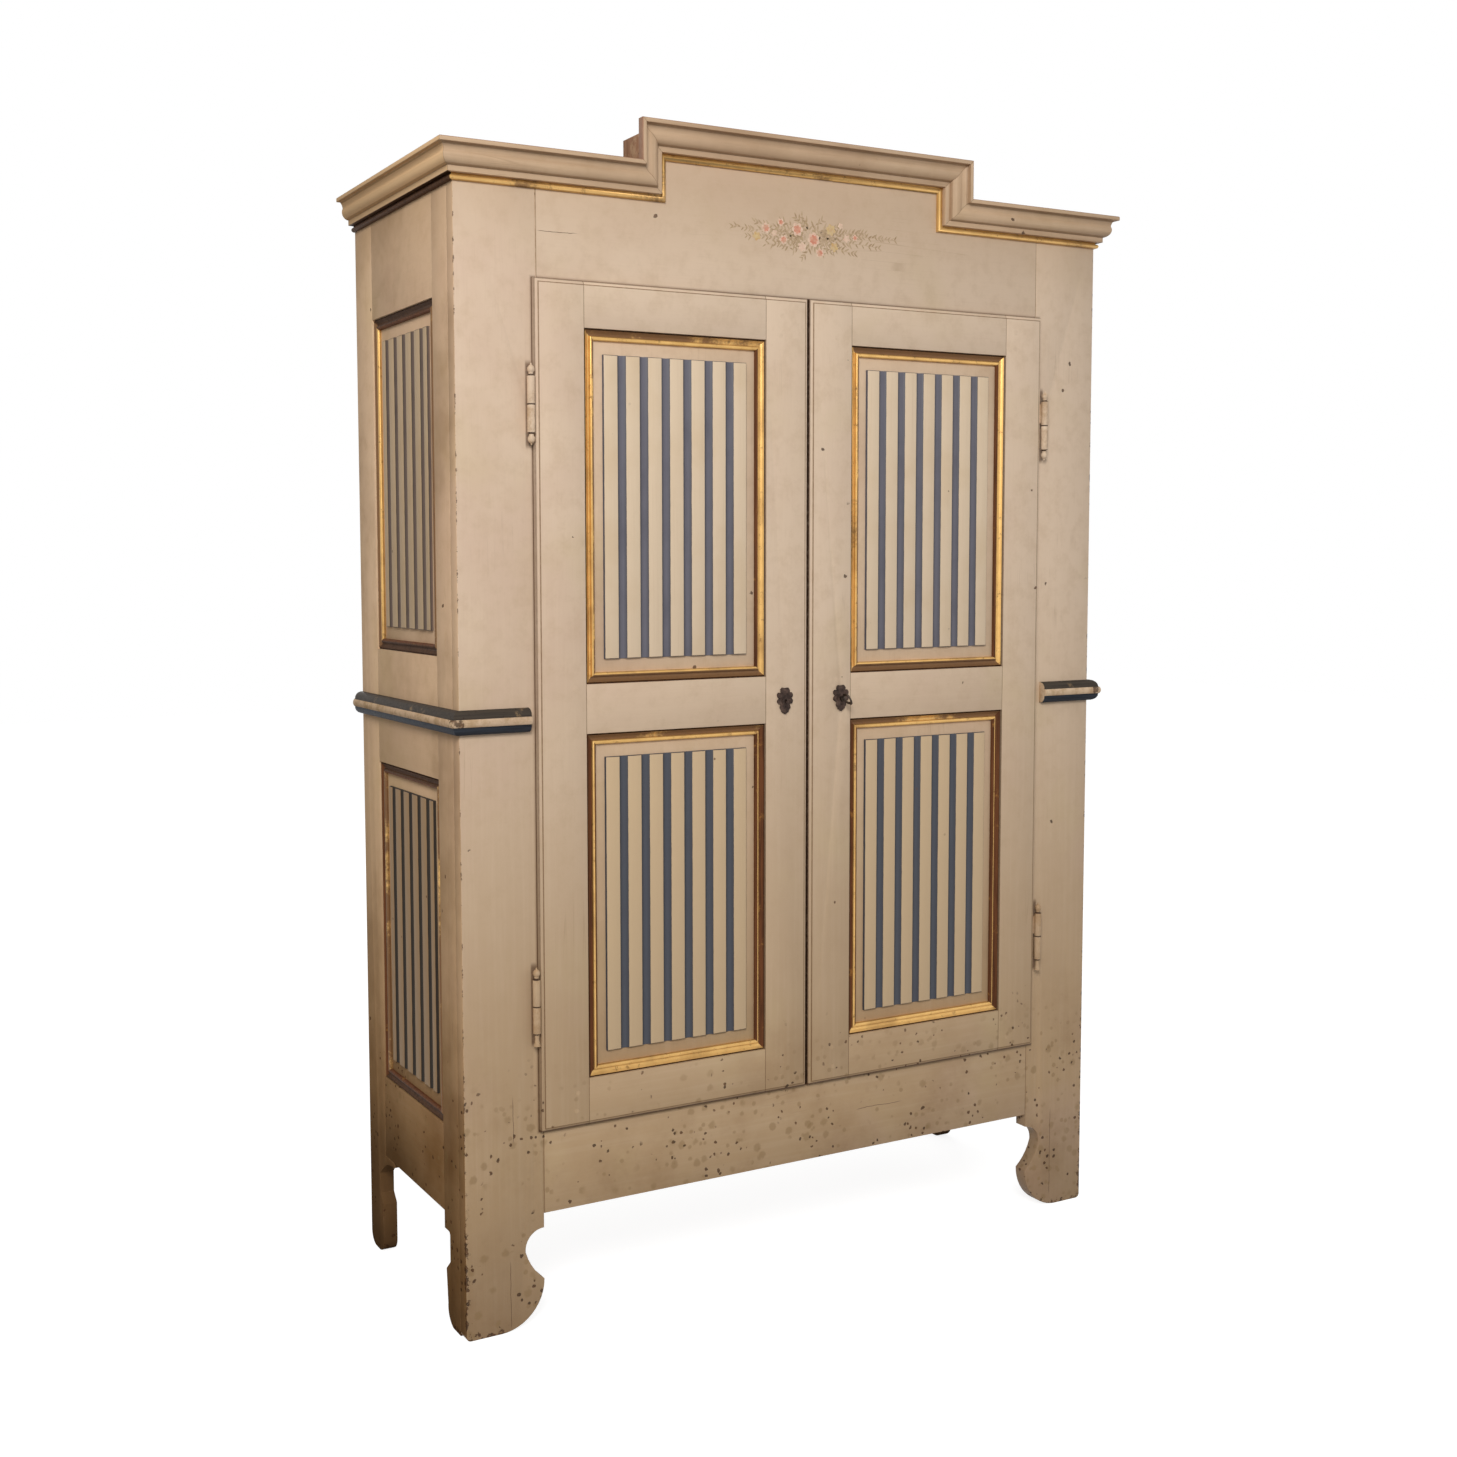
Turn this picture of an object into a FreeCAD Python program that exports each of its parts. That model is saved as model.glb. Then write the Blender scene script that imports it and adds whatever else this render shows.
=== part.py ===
"""Painted two-door wardrobe with fluted panels and a stepped cornice.

Millimetres, +Z up. X runs across the front from left to right and the doors face -Y. The origin is on
the floor, in the middle of the plan that the cornice covers.
"""
import FreeCAD, Part
import math
import os
from FreeCAD import Vector

# Case
case_wide = 1400.0
case_deep = 497.0
board_t = 28.0
front_stile_wide = 150.0
side_front_stile_wide = 98.0
side_back_stile_wide = 91.0
apron_low = 203.0
apron_high = 157.0
frieze_high = 156.0
cornice_seat = 54.0

# Front feet: a cove under the stile, then a rounded toe
foot_corner_r = 9.0
shoulder_drop = 26.0
cove_upper_in = 29.0
cove_upper_share = 0.85
cove_in = 36.0
cove_share = 0.58
cove_lower_in = 24.0
cove_lower_share = 0.29
toe_r = 84.0

# Side faces of the front feet
heel_shoulder_drop = 32.0
heel_neck_in = 25.0
heel_neck_round = 6.0
heel_neck_low = 117.0
heel_in = 6.0
heel_high = 99.0
ankle_in = 12.0
ankle_high = 38.0
heel_flat_in = 36.0

# Back feet: a bracket under the rail, a neck and a pad
bracket_wide = 137.0
bracket_drop = 10.0
bracket_cove_wide = 85.0
bracket_cove_drop = 12.0
back_neck_wide = 56.0
back_neck_drop = 36.0
back_neck_low = 117.0
pad_wide = 72.0
pad_high = 99.0
pad_round = 26.0

# Mortise and tenon joints
tenon_t = 9.0
tenon_long = 42.0
tenon_shoulder = 12.0

# Fluted panels, the same in doors and sides
panel_hole_high = 615.0
panel_sink = 10.0
panel_t = 11.0
panel_groove = 8.0
panel_play = 1.0
moulding_wide = 20.0
moulding_high = 8.0
moulding_quirk = 3.0
moulding_cove_low = 3.0
moulding_cove_bow = 1.6
moulding_bead_r = 4.0
board_margin_side = 19.0
board_margin_end = 23.0
fluted_t = 6.0
fluted_chamfer = 1.5
flute_wide = 18.0
flute_deep = 4.5
door_flute_count = 6
door_flute_margin = 27.0
side_flute_count = 5
side_flute_margin = 18.0

# Side frames
side_low_rail = 157.0
side_mid_rail = 215.0

# Doors
door_low_rail = 85.0
door_lock_rail = 87.0
door_top_rail = 80.0
door_stile_wide = 93.0
door_lip = 8.0
door_proud = 12.0
door_t = 28.0
door_quirk = 1.2
door_round = 6.5
door_edge_gap = 1.5
door_meeting_gap = 4.0
door_seat_gap = 0.3

# Belt moulding: a bulging band, a round nose and a second band
belt_up = 9.0
belt_high = 42.0
belt_nose_share = 1 / 3
belt_bow_share = 0.12
belt_low_in = 6.0
belt_low_bow = 14.0
belt_low_out = 16.5
belt_nose_in = 18.0
belt_out = 20.5
belt_top_bow = 13.5
belt_top_in = 4.0
belt_stop = 22.0

# Cornice, with heights from the bottom of its bead
cornice_high = 62.0
cornice_out = 36.0
cornice_step = 72.0
crest_half = 361.0
bead_high = 12.0
bead_r = 4.5
bead_back = 3.0
fillet_out = 13.0
fillet_t = 10.0
belly_low_out = 15.5
belly_out = 24.6
belly_share = 0.28
hollow_low_out = 24.0
hollow_low_share = 0.64
hollow_out = 25.2
hollow_share = 0.83
lip_under_out = 28.5
lip_t = 8.0
lip_round = 2.0
crest_rebate_share = 0.42
crest_wall = 4.0
crest_block_drop = 25.0
crest_block_in = 1.0
crest_block_back = 12.0

# Inside of the case
liner_t = 18.0
floor_count = 5
roof_count = 5
liner_gap = 0.6
floor_drop = 10.0
bearer_high = 34.0
bearer_wide = 24.0
back_board_t = 12.0
back_board_count = 7
back_tongue = 5.0
back_tongue_share = 1 / 3
back_rail_t = 22.0
back_rail_high = 85.0
back_rail_mid_up = 830.0
back_up = 12.0
shelf_drop = 166.0
shelf_count = 3
shelf_front_in = 30.0
rod_r = 14.0
rod_fit = 0.2
rod_in = 12.0
cleat_t = 20.0
cleat_wide = 62.0
cleat_high = 72.0
cleat_chamfer = 14.0

# Lift-off hinges
hinge_r = 7.0
hinge_gap = 1.0
hinge_top_in = 206.0
hinge_bottom_in = 220.0
knuckle_high = 48.0
knuckle_gap = 0.4
hinge_pin_r = 4.0
hinge_pin_long = 38.0
hinge_pin_fit = 0.05
leaf_t = 2.5
leaf_back = 4.4
door_leaf_in = 24.0
case_leaf_in = 20.0
leaf_margin = 5.0
leaf_fit = 0.05
finial_neck_r = 4.2
finial_neck = 5.0
finial_ball_r = 6.4
finial_tip_r = 1.5
finial_tip = 3.0
bell_long = 17.0
bell_mouth_r = 6.6

# Escutcheons
lock_up = 40.0
right_key_in = 23.0
left_key_in = 41.0
scutcheon_t = 2.4
scutcheon_up = 5.0
scutcheon_core_r = 13.0
lobe_r = 4.6
lobe_ring_r = 13.6
lobe_count = 8
drop_first_r = 8.0
drop_count = 4
drop_pitch = 6.6
drop_shrink_share = 0.8
boss_t = 1.6
boss_r = 7.5
keyhole_r = 4.4
keyhole_slot = 4.4
keyhole_long = 11.5

# Rim lock
lock_edge_in = 0.5
lock_above = 45.0
lock_below = 32.0
lock_deep = 16.0
lock_wall = 2.0
bolt_t = 5.0
bolt_high = 20.0
bolt_up = 6.5
bolt_nose_in = 1.0
bolt_end_room = 4.0
bolt_fit = 0.25
bolt_throw = 12.0
talon_off = 7.5
talon_wide = 14.6
talon_deep = 4.5
stump_in = 28.0
stump_r = 3.0
keep_wide = 26.0
keep_wall = 3.0
keep_room = 1.5

# Key
key_r = 3.4
key_fit = 0.05
key_pilot_r = 2.4
key_bit_r = 10.0
key_bit_t = 2.6
key_bit_wide = 7.0
key_bit_notch = 2.4
key_neck = 4.0
key_collar_r = 5.2
key_collar_t = 3.0
key_wire_r = 1.9
key_bow_half = 7.5
key_bow_long = 10.0
key_turned_deg = 30.0

# Door bolts on the inside of the left door
slide_wide = 14.0
slide_t = 6.0
slide_long = 230.0
slide_edge_in = 30.0
slide_short = 3.0
slide_fit = 0.3
slide_throw = 16.0
slide_room = 1.0
slide_end_room = 3.0
staple_t = 2.0
staple_foot = 9.0
staple_high = 16.0
staple_place_share = 0.2
knob_r = 6.5
knob_waist_r = 3.5
knob_long = 14.0
knob_gap = 0.3

# Small arcs are drawn as chords and small turned pieces as prisms, so that the part stays light
moulding_chords = 4
flute_chords = 3
door_chords = 3
belt_chords = 4
turned_chords = 5
turned_sides = 12
lobe_sides = 8

# How far a cutting block runs past the piece it cuts
overrun = 5.0

# Places that follow from the sizes above
half = case_wide / 2
face = (cornice_out - case_deep) / 2
back = face + case_deep
in_half = half - board_t
in_front = face + board_t
door_hole_low = apron_low + apron_high
door_low = door_hole_low - door_lip
door_hole_1 = door_low + door_low_rail
door_hole_2 = door_hole_1 + panel_hole_high + door_lock_rail
door_high = door_hole_2 + panel_hole_high + door_top_rail
door_hole_high = door_high - door_lip
cornice_low = door_hole_high + frieze_high
stile_top = cornice_low + cornice_seat
crest_low = cornice_low + cornice_step
crest_high = crest_low + cornice_high
crest_rebate_high = cornice_high * crest_rebate_share
crest_rebate_deep = hollow_low_out - crest_wall
belt_low = door_hole_1 + panel_hole_high + belt_up
door_left = -half + front_stile_wide - door_lip
door_meet = -door_meeting_gap / 2
door_wide = door_meet - door_left
door_face = face - door_proud
door_back = door_face + door_t
door_rebate = door_lip + door_edge_gap
door_lip_back = door_proud - door_seat_gap
door_panel_wide = door_wide - 2 * door_stile_wide
side_hole_low = apron_low + side_low_rail
side_hole_2 = side_hole_low + panel_hole_high + side_mid_rail
side_panel_wide = case_deep - side_front_stile_wide - side_back_stile_wide
hinge_x = door_left - hinge_gap - hinge_r
hinge_y = door_face
hinge_high_z = door_hole_high - hinge_top_in
hinge_low_z = door_hole_low + hinge_bottom_in
key_x = -door_meet + door_stile_wide - right_key_in
lock_z = door_hole_1 + panel_hole_high + lock_up
lock_wide = door_stile_wide - 2 * lock_edge_in
bolt_long = lock_wide - bolt_end_room
bolt_low = lock_z + bolt_up
bolt_mid_y = door_back + (lock_deep - lock_wall) / 2
back_board_front = back - back_board_t
back_rail_front = back_board_front - back_rail_t
floor_top = door_hole_low - floor_drop
roof_low = stile_top - liner_t
shelf_top = door_hole_high - shelf_drop
shelf_low = shelf_top - liner_t
round_share = 1 - math.sqrt(0.5)


def box(x0, x1, y0, y1, z0, z1):
    """Block between two corners."""
    return Part.makeBox(x1 - x0, y1 - y0, z1 - z0, Vector(x0, y0, z0))


def extruded(start, steps, place, along):
    """Solid from an outline of lines (end,) and arcs (middle, end), pushed along a vector."""
    edges = []
    here = place(*start)
    for step in steps + [(start,)]:
        end = place(*step[-1])
        if len(step) == 2:
            edges.append(Part.Arc(here, place(*step[0]), end).toShape())
        elif (end - here).Length > 0:
            edges.append(Part.LineSegment(here, end).toShape())
        here = end
    return Part.Face(Part.Wire(edges)).extrude(along)


def slab(points, place, along):
    """Straight-sided prism over a list of corners."""
    return extruded(points[0], [(point,) for point in points[1:]], place, along)


def chorded(start, steps, chords):
    """The same outline with its arcs turned into chords."""
    straight = []
    here = Vector(start[0], start[1], 0)
    for step in steps:
        points = [Vector(a, b, 0) for a, b in step]
        if len(points) == 2:
            arc = Part.Arc(here, points[0], points[1]).toShape()
            straight += [((point.x, point.y),) for point in arc.discretize(chords + 1)[1:]]
        else:
            straight.append(step)
        here = points[-1]
    return straight


def ring(r, centre, along, sides):
    """Closed many-sided wire round a point, square to a direction."""
    turn = FreeCAD.Rotation(Vector(0, 0, 1), along)
    corners = []
    for i in range(sides):
        angle = 2 * math.pi * (i + 0.5) / sides
        corners.append(centre + turn.multVec(Vector(r * math.cos(angle), r * math.sin(angle), 0)))
    return Part.makePolygon(corners + corners[:1])


def faceted(stations, start, along, sides):
    """Many-sided turned solid through (radius, distance) stations from a point along a direction."""
    way = Vector(along)
    way.normalize()
    return Part.makeLoft([ring(r, start + way * h, way, sides) for r, h in stations], True, True)


def prism(r, start, along, sides):
    """Many-sided bar from a point along a vector."""
    return faceted([(r, 0), (r, along.Length)], start, along, sides)


def rod(r, start, along):
    """Round bar from a point along a vector."""
    return Part.makeCylinder(r, along.Length, start, along)


def mirrored(shape):
    """The same piece on the other side of the middle."""
    return shape.mirror(Vector(0, 0, 0), Vector(1, 0, 0))


def joined(shapes):
    """One solid from several that overlap or share faces."""
    return shapes[0].fuse(shapes[1:]).removeSplitter()


def grouped(shapes):
    """Separate solids kept in one node."""
    solids = []
    for shape in shapes:
        solids.extend(shape.Solids)
    return Part.makeCompound(solids)


# Boards of the case

def front_stile():
    """Left front stile, a wide board that ends in a cove and a rounded toe."""
    wide = front_stile_wide
    shoulder = apron_low - shoulder_drop
    rise = shoulder - toe_r
    steps = [((0, stile_top),), ((wide, stile_top),), ((wide, shoulder),),
             ((wide - cove_upper_in, toe_r + rise * cove_upper_share),
              (wide - cove_in, toe_r + rise * cove_share)),
             ((wide - cove_lower_in, toe_r + rise * cove_lower_share), (wide, toe_r)),
             ((wide - toe_r * round_share, toe_r * round_share), (wide - toe_r, 0)),
             ((foot_corner_r, 0),),
             ((foot_corner_r * round_share, foot_corner_r * round_share), (0, foot_corner_r))]
    board = extruded((0, foot_corner_r), steps, lambda a, z: Vector(a - half, face, z), Vector(0, board_t, 0))
    tools = [rail_tenon(wide - half, face, apron_low, door_hole_low, -1)]
    tools.append(rail_tenon(wide - half, face, door_hole_high, stile_top, -1))
    for z in (hinge_high_z, hinge_low_z):
        tools.append(case_leaf(z, leaf_fit))
    return board.cut(tools)


def rail_tenon(x, y, low, high, way):
    """Tenon of a rail between two heights, from the shoulder at x; the board's face is at y."""
    front = y + panel_sink + (panel_t - tenon_t) / 2
    x0, x1 = sorted((x, x + way * tenon_long))
    return box(x0, x1, front, front + tenon_t, low + tenon_shoulder, high - tenon_shoulder)


def side_front_stile():
    """Board behind the left front stile, with a square-necked foot of its own."""
    wide = side_front_stile_wide
    shoulder = apron_low - heel_shoulder_drop
    neck = wide - heel_neck_in
    round_in = heel_neck_round * round_share
    ankle = wide - ankle_in
    toe = heel_flat_in - ankle_in
    steps = [((board_t, stile_top),), ((wide, stile_top),), ((wide, shoulder),),
             ((neck + heel_neck_round, shoulder),),
             ((neck + round_in, shoulder - round_in), (neck, shoulder - heel_neck_round)),
             ((neck, heel_neck_low),), ((wide - heel_in, heel_high),), ((ankle, ankle_high),),
             ((ankle - toe * round_share, ankle_high * round_share), (ankle - toe, 0))]
    return extruded((board_t, 0), steps, lambda a, z: Vector(-half, face + a, z), Vector(board_t, 0, 0))


def side_back_stile():
    """Left back stile, with a bracket under the rail and a slim padded foot."""
    bracket_low = apron_low - bracket_drop
    round_in = pad_round * round_share
    steps = [((0, stile_top),), ((side_back_stile_wide, stile_top),), ((side_back_stile_wide, apron_low),),
             ((bracket_wide, apron_low),), ((bracket_wide, bracket_low),),
             ((bracket_cove_wide, bracket_low - bracket_cove_drop),
              (back_neck_wide, bracket_low - back_neck_drop)),
             ((back_neck_wide, back_neck_low),), ((pad_wide, pad_high),), ((pad_wide, pad_round),),
             ((pad_wide - round_in, round_in), (pad_wide - pad_round, 0)),
             ((pad_round, 0),), ((round_in, round_in), (0, pad_round))]
    return extruded((0, pad_round), steps, lambda a, z: Vector(-half, back - a, z), Vector(board_t, 0, 0))


def on_side(shape):
    """Piece drawn with its face at y = 0 and x from 0, turned onto the left side behind the front stile."""
    turned = shape.copy()
    turned.rotate(Vector(0, 0, 0), Vector(0, 0, 1), -90)
    turned.translate(Vector(-half, back - side_back_stile_wide, 0))
    return turned


def panel_cut(x, y, z, wide):
    """Space of one panel: the hole through the frame and the groove round it."""
    hole = box(x, x + wide, y - overrun, y + board_t + overrun, z, z + panel_hole_high)
    groove = box(x - panel_groove, x + wide + panel_groove, y + panel_sink, y + panel_sink + panel_t,
                 z - panel_groove, z + panel_hole_high + panel_groove)
    return hole.fuse(groove)


def side_frame():
    """Left side: both stiles cut for the rails and panels, and the three rails."""
    levels = [(apron_low, side_hole_low), (side_hole_low + panel_hole_high, side_hole_2),
              (side_hole_2 + panel_hole_high, stile_top)]
    cuts = [panel_cut(0, 0, z, side_panel_wide) for z in (side_hole_low, side_hole_2)]
    rails = []
    tenons = []
    for low, high in levels:
        ends = [rail_tenon(0, 0, low, high, -1), rail_tenon(side_panel_wide, 0, low, high, 1)]
        body = box(0, side_panel_wide, 0, board_t, low, high).cut(cuts)
        rails.append(on_side(joined([body] + ends)))
        tenons.extend(ends)
    tools = [on_side(tool) for tool in cuts + tenons]
    return side_front_stile().cut(tools), side_back_stile().cut(tools), rails


# Panels

def moulding_strip(place, along):
    """Gilt moulding of a panel: quirk, cove and half-round bead, as (inward, up from the panel)."""
    bead_x = moulding_wide - 2 * moulding_bead_r
    lean = (moulding_high - moulding_cove_low) / (bead_x - moulding_quirk)
    cove_mid = ((moulding_quirk + bead_x) / 2 - moulding_cove_bow * lean,
                (moulding_high + moulding_cove_low) / 2 - moulding_cove_bow)
    steps = [((0, moulding_high - moulding_quirk),), ((moulding_quirk, moulding_high - moulding_quirk),),
             ((moulding_quirk, moulding_high),), (cove_mid, (bead_x, moulding_cove_low)),
             ((bead_x + moulding_bead_r, moulding_cove_low + moulding_bead_r),
              (moulding_wide, moulding_cove_low)),
             ((moulding_wide, 0),)]
    return extruded((0, 0), chorded((0, 0), steps, moulding_chords), place, along)


def panel_mouldings(x, y, z, wide):
    """Four strips, mitred at the corners, round a panel hole whose frame face is at y."""
    seat = y + panel_sink
    top = z + panel_hole_high
    right = x + wide
    m = moulding_wide
    upright = Vector(0, 0, panel_hole_high)
    across = Vector(wide, 0, 0)
    places = [(lambda u, v: Vector(x + u, seat - v, z), upright,
               [(x, z), (x + m, z + m), (x + m, top - m), (x, top)]),
              (lambda u, v: Vector(right - u, seat - v, z), upright,
               [(right, z), (right - m, z + m), (right - m, top - m), (right, top)]),
              (lambda u, v: Vector(x, seat - v, z + u), across,
               [(x, z), (right, z), (right - m, z + m), (x + m, z + m)]),
              (lambda u, v: Vector(x, seat - v, top - u), across,
               [(x, top), (right, top), (right - m, top - m), (x + m, top - m)])]
    strips = []
    for place, along, corners in places:
        mitre = slab(corners, lambda a, c: Vector(a, seat - panel_sink, c), Vector(0, panel_sink, 0))
        strips.append(moulding_strip(place, along).common(mitre))
    return strips


def fluted_board(x, y, z, wide, count, margin):
    """Raised board with round-bottomed flutes that run out at its ends, on the panel behind y."""
    board_wide = wide - 2 * (moulding_wide + board_margin_side)
    board_high = panel_hole_high - 2 * (moulding_wide + board_margin_end)
    left = x + (wide - board_wide) / 2
    low = z + (panel_hole_high - board_high) / 2
    pitch = (board_wide - 2 * margin - flute_wide) / (count - 1)
    steps = [((0, fluted_t - fluted_chamfer),), ((fluted_chamfer, fluted_t),)]
    for index in range(count):
        start = margin + index * pitch
        steps.append(((start, fluted_t),))
        steps.append(((start + flute_wide / 2, fluted_t - flute_deep), (start + flute_wide, fluted_t)))
    steps += [((board_wide - fluted_chamfer, fluted_t),), ((board_wide, fluted_t - fluted_chamfer),),
              ((board_wide, 0),)]
    seat = y + panel_sink
    board = extruded((0, 0), chorded((0, 0), steps, flute_chords),
                     lambda a, b: Vector(left + a, seat - b, low), Vector(0, 0, board_high))
    top = low + board_high
    ends = slab([(0, low), (fluted_t - fluted_chamfer, low), (fluted_t, low + fluted_chamfer),
                 (fluted_t, top - fluted_chamfer), (fluted_t - fluted_chamfer, top), (0, top)],
                lambda b, c: Vector(left, seat - b, c), Vector(board_wide, 0, 0))
    return board.common(ends)


def panel_board(x, y, z, wide):
    """Flat panel that floats in the groove of its frame."""
    grow = panel_groove - panel_play
    return box(x - grow, x + wide + grow, y + panel_sink, y + panel_sink + panel_t,
               z - grow, z + panel_hole_high + grow)


# Doors

def door_blank():
    """Left door as one slab with its lips, rebates and rounded front edge, before it is divided."""
    w = door_wide
    h = door_high - door_low
    q = door_quirk
    r = door_round
    low_arc = (r * round_share, q + r * round_share)
    plan = [((0, q + r),), (low_arc, (r, q)), ((r, 0),), ((w - r, 0),), ((w - r, q),),
            ((w - low_arc[0], low_arc[1]), (w, q + r)), ((w, door_t),), ((door_rebate, door_t),),
            ((door_rebate, door_lip_back),)]
    start = (0, door_lip_back)
    across = extruded(start, chorded(start, plan, door_chords),
                      lambda a, b: Vector(door_left + a, door_face + b, door_low), Vector(0, 0, h))
    side = [((0, q + r),), (low_arc, (r, q)), ((r, 0),), ((h - r, 0),), ((h - r, q),),
            ((h - low_arc[0], low_arc[1]), (h, q + r)), ((h, door_lip_back),),
            ((h - door_rebate, door_lip_back),), ((h - door_rebate, door_t),), ((door_rebate, door_t),),
            ((door_rebate, door_lip_back),)]
    upright = extruded(start, chorded(start, side, door_chords),
                       lambda c, b: Vector(door_left, door_face + b, door_low + c), Vector(w, 0, 0))
    return across.common(upright)


def door_frame():
    """Stiles and rails of the left door, with tenons, panel grooves and the slots for the hinges."""
    x0 = door_left + door_stile_wide
    x1 = door_meet - door_stile_wide
    holes = [panel_cut(x0, door_face, z, door_panel_wide) for z in (door_hole_1, door_hole_2)]
    blank = door_blank().cut(holes)
    levels = [(door_low, door_hole_1), (door_hole_1 + panel_hole_high, door_hole_2),
              (door_hole_2 + panel_hole_high, door_high)]
    y0 = door_face - overrun
    y1 = door_back + overrun
    rails = []
    tenons = []
    for low, high in levels:
        ends = [rail_tenon(x0, door_face, low, high, -1), rail_tenon(x1, door_face, low, high, 1)]
        rails.append(joined([blank.common(box(x0, x1, y0, y1, low, high))] + ends))
        tenons.extend(ends)
    slots = [door_leaf(z, leaf_fit) for z in (hinge_high_z, hinge_low_z)]
    outer = blank.common(box(door_left, x0, y0, y1, door_low, door_high)).cut(tenons + slots)
    meeting = blank.common(box(x1, door_meet, y0, y1, door_low, door_high)).cut(tenons)
    return outer, meeting, rails


def keyhole(hole, x, y0, y1):
    """Keyhole through everything between two planes: the hole given with a slot below it."""
    return hole.fuse(box(x - keyhole_slot / 2, x + keyhole_slot / 2, y0, y1, lock_z - keyhole_long, lock_z))


# Belt and cornice

def belt_profile():
    """Belt section as (out, up)."""
    bow = belt_high * belt_bow_share
    low = belt_high * belt_nose_share
    high = belt_high - low
    steps = [((belt_low_in, 0),), ((belt_low_bow, bow), (belt_low_out, low)), ((belt_nose_in, low),),
             ((belt_out, belt_high / 2), (belt_nose_in, high)), ((belt_low_out, high),),
             ((belt_top_bow, belt_high - bow), (belt_top_in, belt_high)), ((0, belt_high),)]
    return (0, 0), chorded((0, 0), steps, belt_chords)


def cornice_profile(rebated):
    """Cornice section above its bead, as (out, up): fillet, belly, hollow and lip."""
    high = cornice_high
    fillet_top = bead_high + fillet_t
    rise = high - lip_t - fillet_top
    steps = [((fillet_out, bead_high),), ((fillet_out, fillet_top),), ((belly_low_out, fillet_top),),
             ((belly_out, fillet_top + rise * belly_share),
              (hollow_low_out, fillet_top + rise * hollow_low_share)),
             ((hollow_out, fillet_top + rise * hollow_share), (lip_under_out, high - lip_t)),
             ((cornice_out, high - lip_t),),
             ((cornice_out, high - lip_round),),
             ((cornice_out - lip_round * round_share, high - lip_round * round_share),
              (cornice_out - lip_round, high))]
    if rebated:
        steps += [((crest_rebate_deep, high),), ((crest_rebate_deep, high - crest_rebate_high),),
                  ((0, high - crest_rebate_high),)]
    else:
        steps += [((0, high),)]
    return (0, bead_high), steps


def bead_profile():
    """Half-round bead under the cornice, with a quirk above it."""
    steps = [((bead_back, 0),), ((bead_back + bead_r, bead_r), (bead_back, 2 * bead_r)),
             ((bead_back, bead_high),), ((0, bead_high),)]
    return (0, 0), chorded((0, 0), steps, belt_chords)


def corner_mitre(reach, low, high, side):
    """Plan half of the left front corner, kept for the side run or for the front run."""
    far = reach + overrun
    tip = (-half - far, face - far)
    corners = [(-half, face), tip]
    if side:
        corners += [(-half - far, back), (-half, back)]
    else:
        corners += [(0, face - far), (0, face)]
    return slab(corners, lambda x, y: Vector(x, y, low), Vector(0, 0, high - low))


def side_run(profile, base, reach):
    """Moulding along the left side, mitred at the front corner."""
    front = face - reach - overrun
    run = extruded(profile[0], profile[1], lambda u, v: Vector(-half - u, front, base + v),
                   Vector(0, back - front, 0))
    return run.common(corner_mitre(reach, base, base + cornice_high, True))


def front_run(profile, base, x0, x1):
    """Moulding across the front between two places."""
    return extruded(profile[0], profile[1], lambda u, v: Vector(x0, face - u, base + v),
                    Vector(x1 - x0, 0, 0))


def riser_run(profile, low, high):
    """Upright moulding at the left of the raised middle, with its lip outward."""
    foot = crest_half - cornice_high
    return extruded(profile[0], profile[1], lambda u, v: Vector(-foot - v, face - u, low),
                    Vector(0, 0, high - low))


def front_mitre(corners):
    """Prism through the front mouldings over corners (x, z)."""
    near = face - cornice_out - overrun
    return slab(corners, lambda x, z: Vector(x, near, z), Vector(0, face - near, 0))


def cornice_runs(profile, crest_profile):
    """Side, lower front, riser and raised middle of one section, mitred where they meet."""
    foot = crest_half - cornice_high
    lip = cornice_low + cornice_high
    outer = -half - cornice_out - overrun
    lower = front_run(profile, cornice_low, outer, -foot)
    lower = lower.common(corner_mitre(cornice_out, cornice_low, lip, False))
    lower = lower.common(
        front_mitre([(outer, cornice_low), (-foot, cornice_low), (-crest_half, lip), (outer, lip)]))
    corners = [(-foot, cornice_low), (-crest_half, lip), (-crest_half, crest_high), (-foot, crest_low)]
    riser = riser_run(crest_profile, cornice_low, crest_high).common(front_mitre(corners))
    corners = [(-foot, crest_low), (foot, crest_low), (crest_half, crest_high), (-crest_half, crest_high)]
    raised = front_run(crest_profile, crest_low, -crest_half, crest_half).common(front_mitre(corners))
    return side_run(profile, cornice_low, cornice_out), lower, riser, raised


def belt():
    """Left belt: the run along the side and the short return on the front stile."""
    profile = belt_profile()
    front = front_run(profile, belt_low, -half - belt_out - overrun, -half + front_stile_wide - belt_stop)
    front = front.common(corner_mitre(belt_out, belt_low, belt_low + belt_high, False))
    return [side_run(profile, belt_low, belt_out), front]


def frieze():
    """Board above the doors, raised in the middle behind the stepped cornice."""
    x1 = half - front_stile_wide
    crest = crest_half - crest_rebate_high
    crest_top = crest_high - crest_block_drop
    corners = [(-x1, door_hole_high), (x1, door_hole_high), (x1, stile_top), (crest, stile_top),
               (crest, crest_top), (-crest, crest_top), (-crest, stile_top), (-x1, stile_top)]
    board = slab(corners, lambda x, z: Vector(x, face, z), Vector(0, board_t, 0))
    tenons = [rail_tenon(way * x1, face, door_hole_high, stile_top, way) for way in (-1, 1)]
    top = door_hole_high + slide_throw - slide_short - door_edge_gap + slide_end_room
    return joined([board] + tenons).cut(slide_mortise(door_hole_high - overrun, top))


def apron():
    """Board under the doors, with the mortise for the lower bolt."""
    x1 = half - front_stile_wide
    board = box(-x1, x1, face, in_front, apron_low, door_hole_low)
    tenons = [rail_tenon(way * x1, face, apron_low, door_hole_low, way) for way in (-1, 1)]
    low = door_hole_low - slide_throw + slide_short + door_edge_gap - slide_end_room
    return joined([board] + tenons).cut(slide_mortise(low, door_hole_low + overrun))


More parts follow.
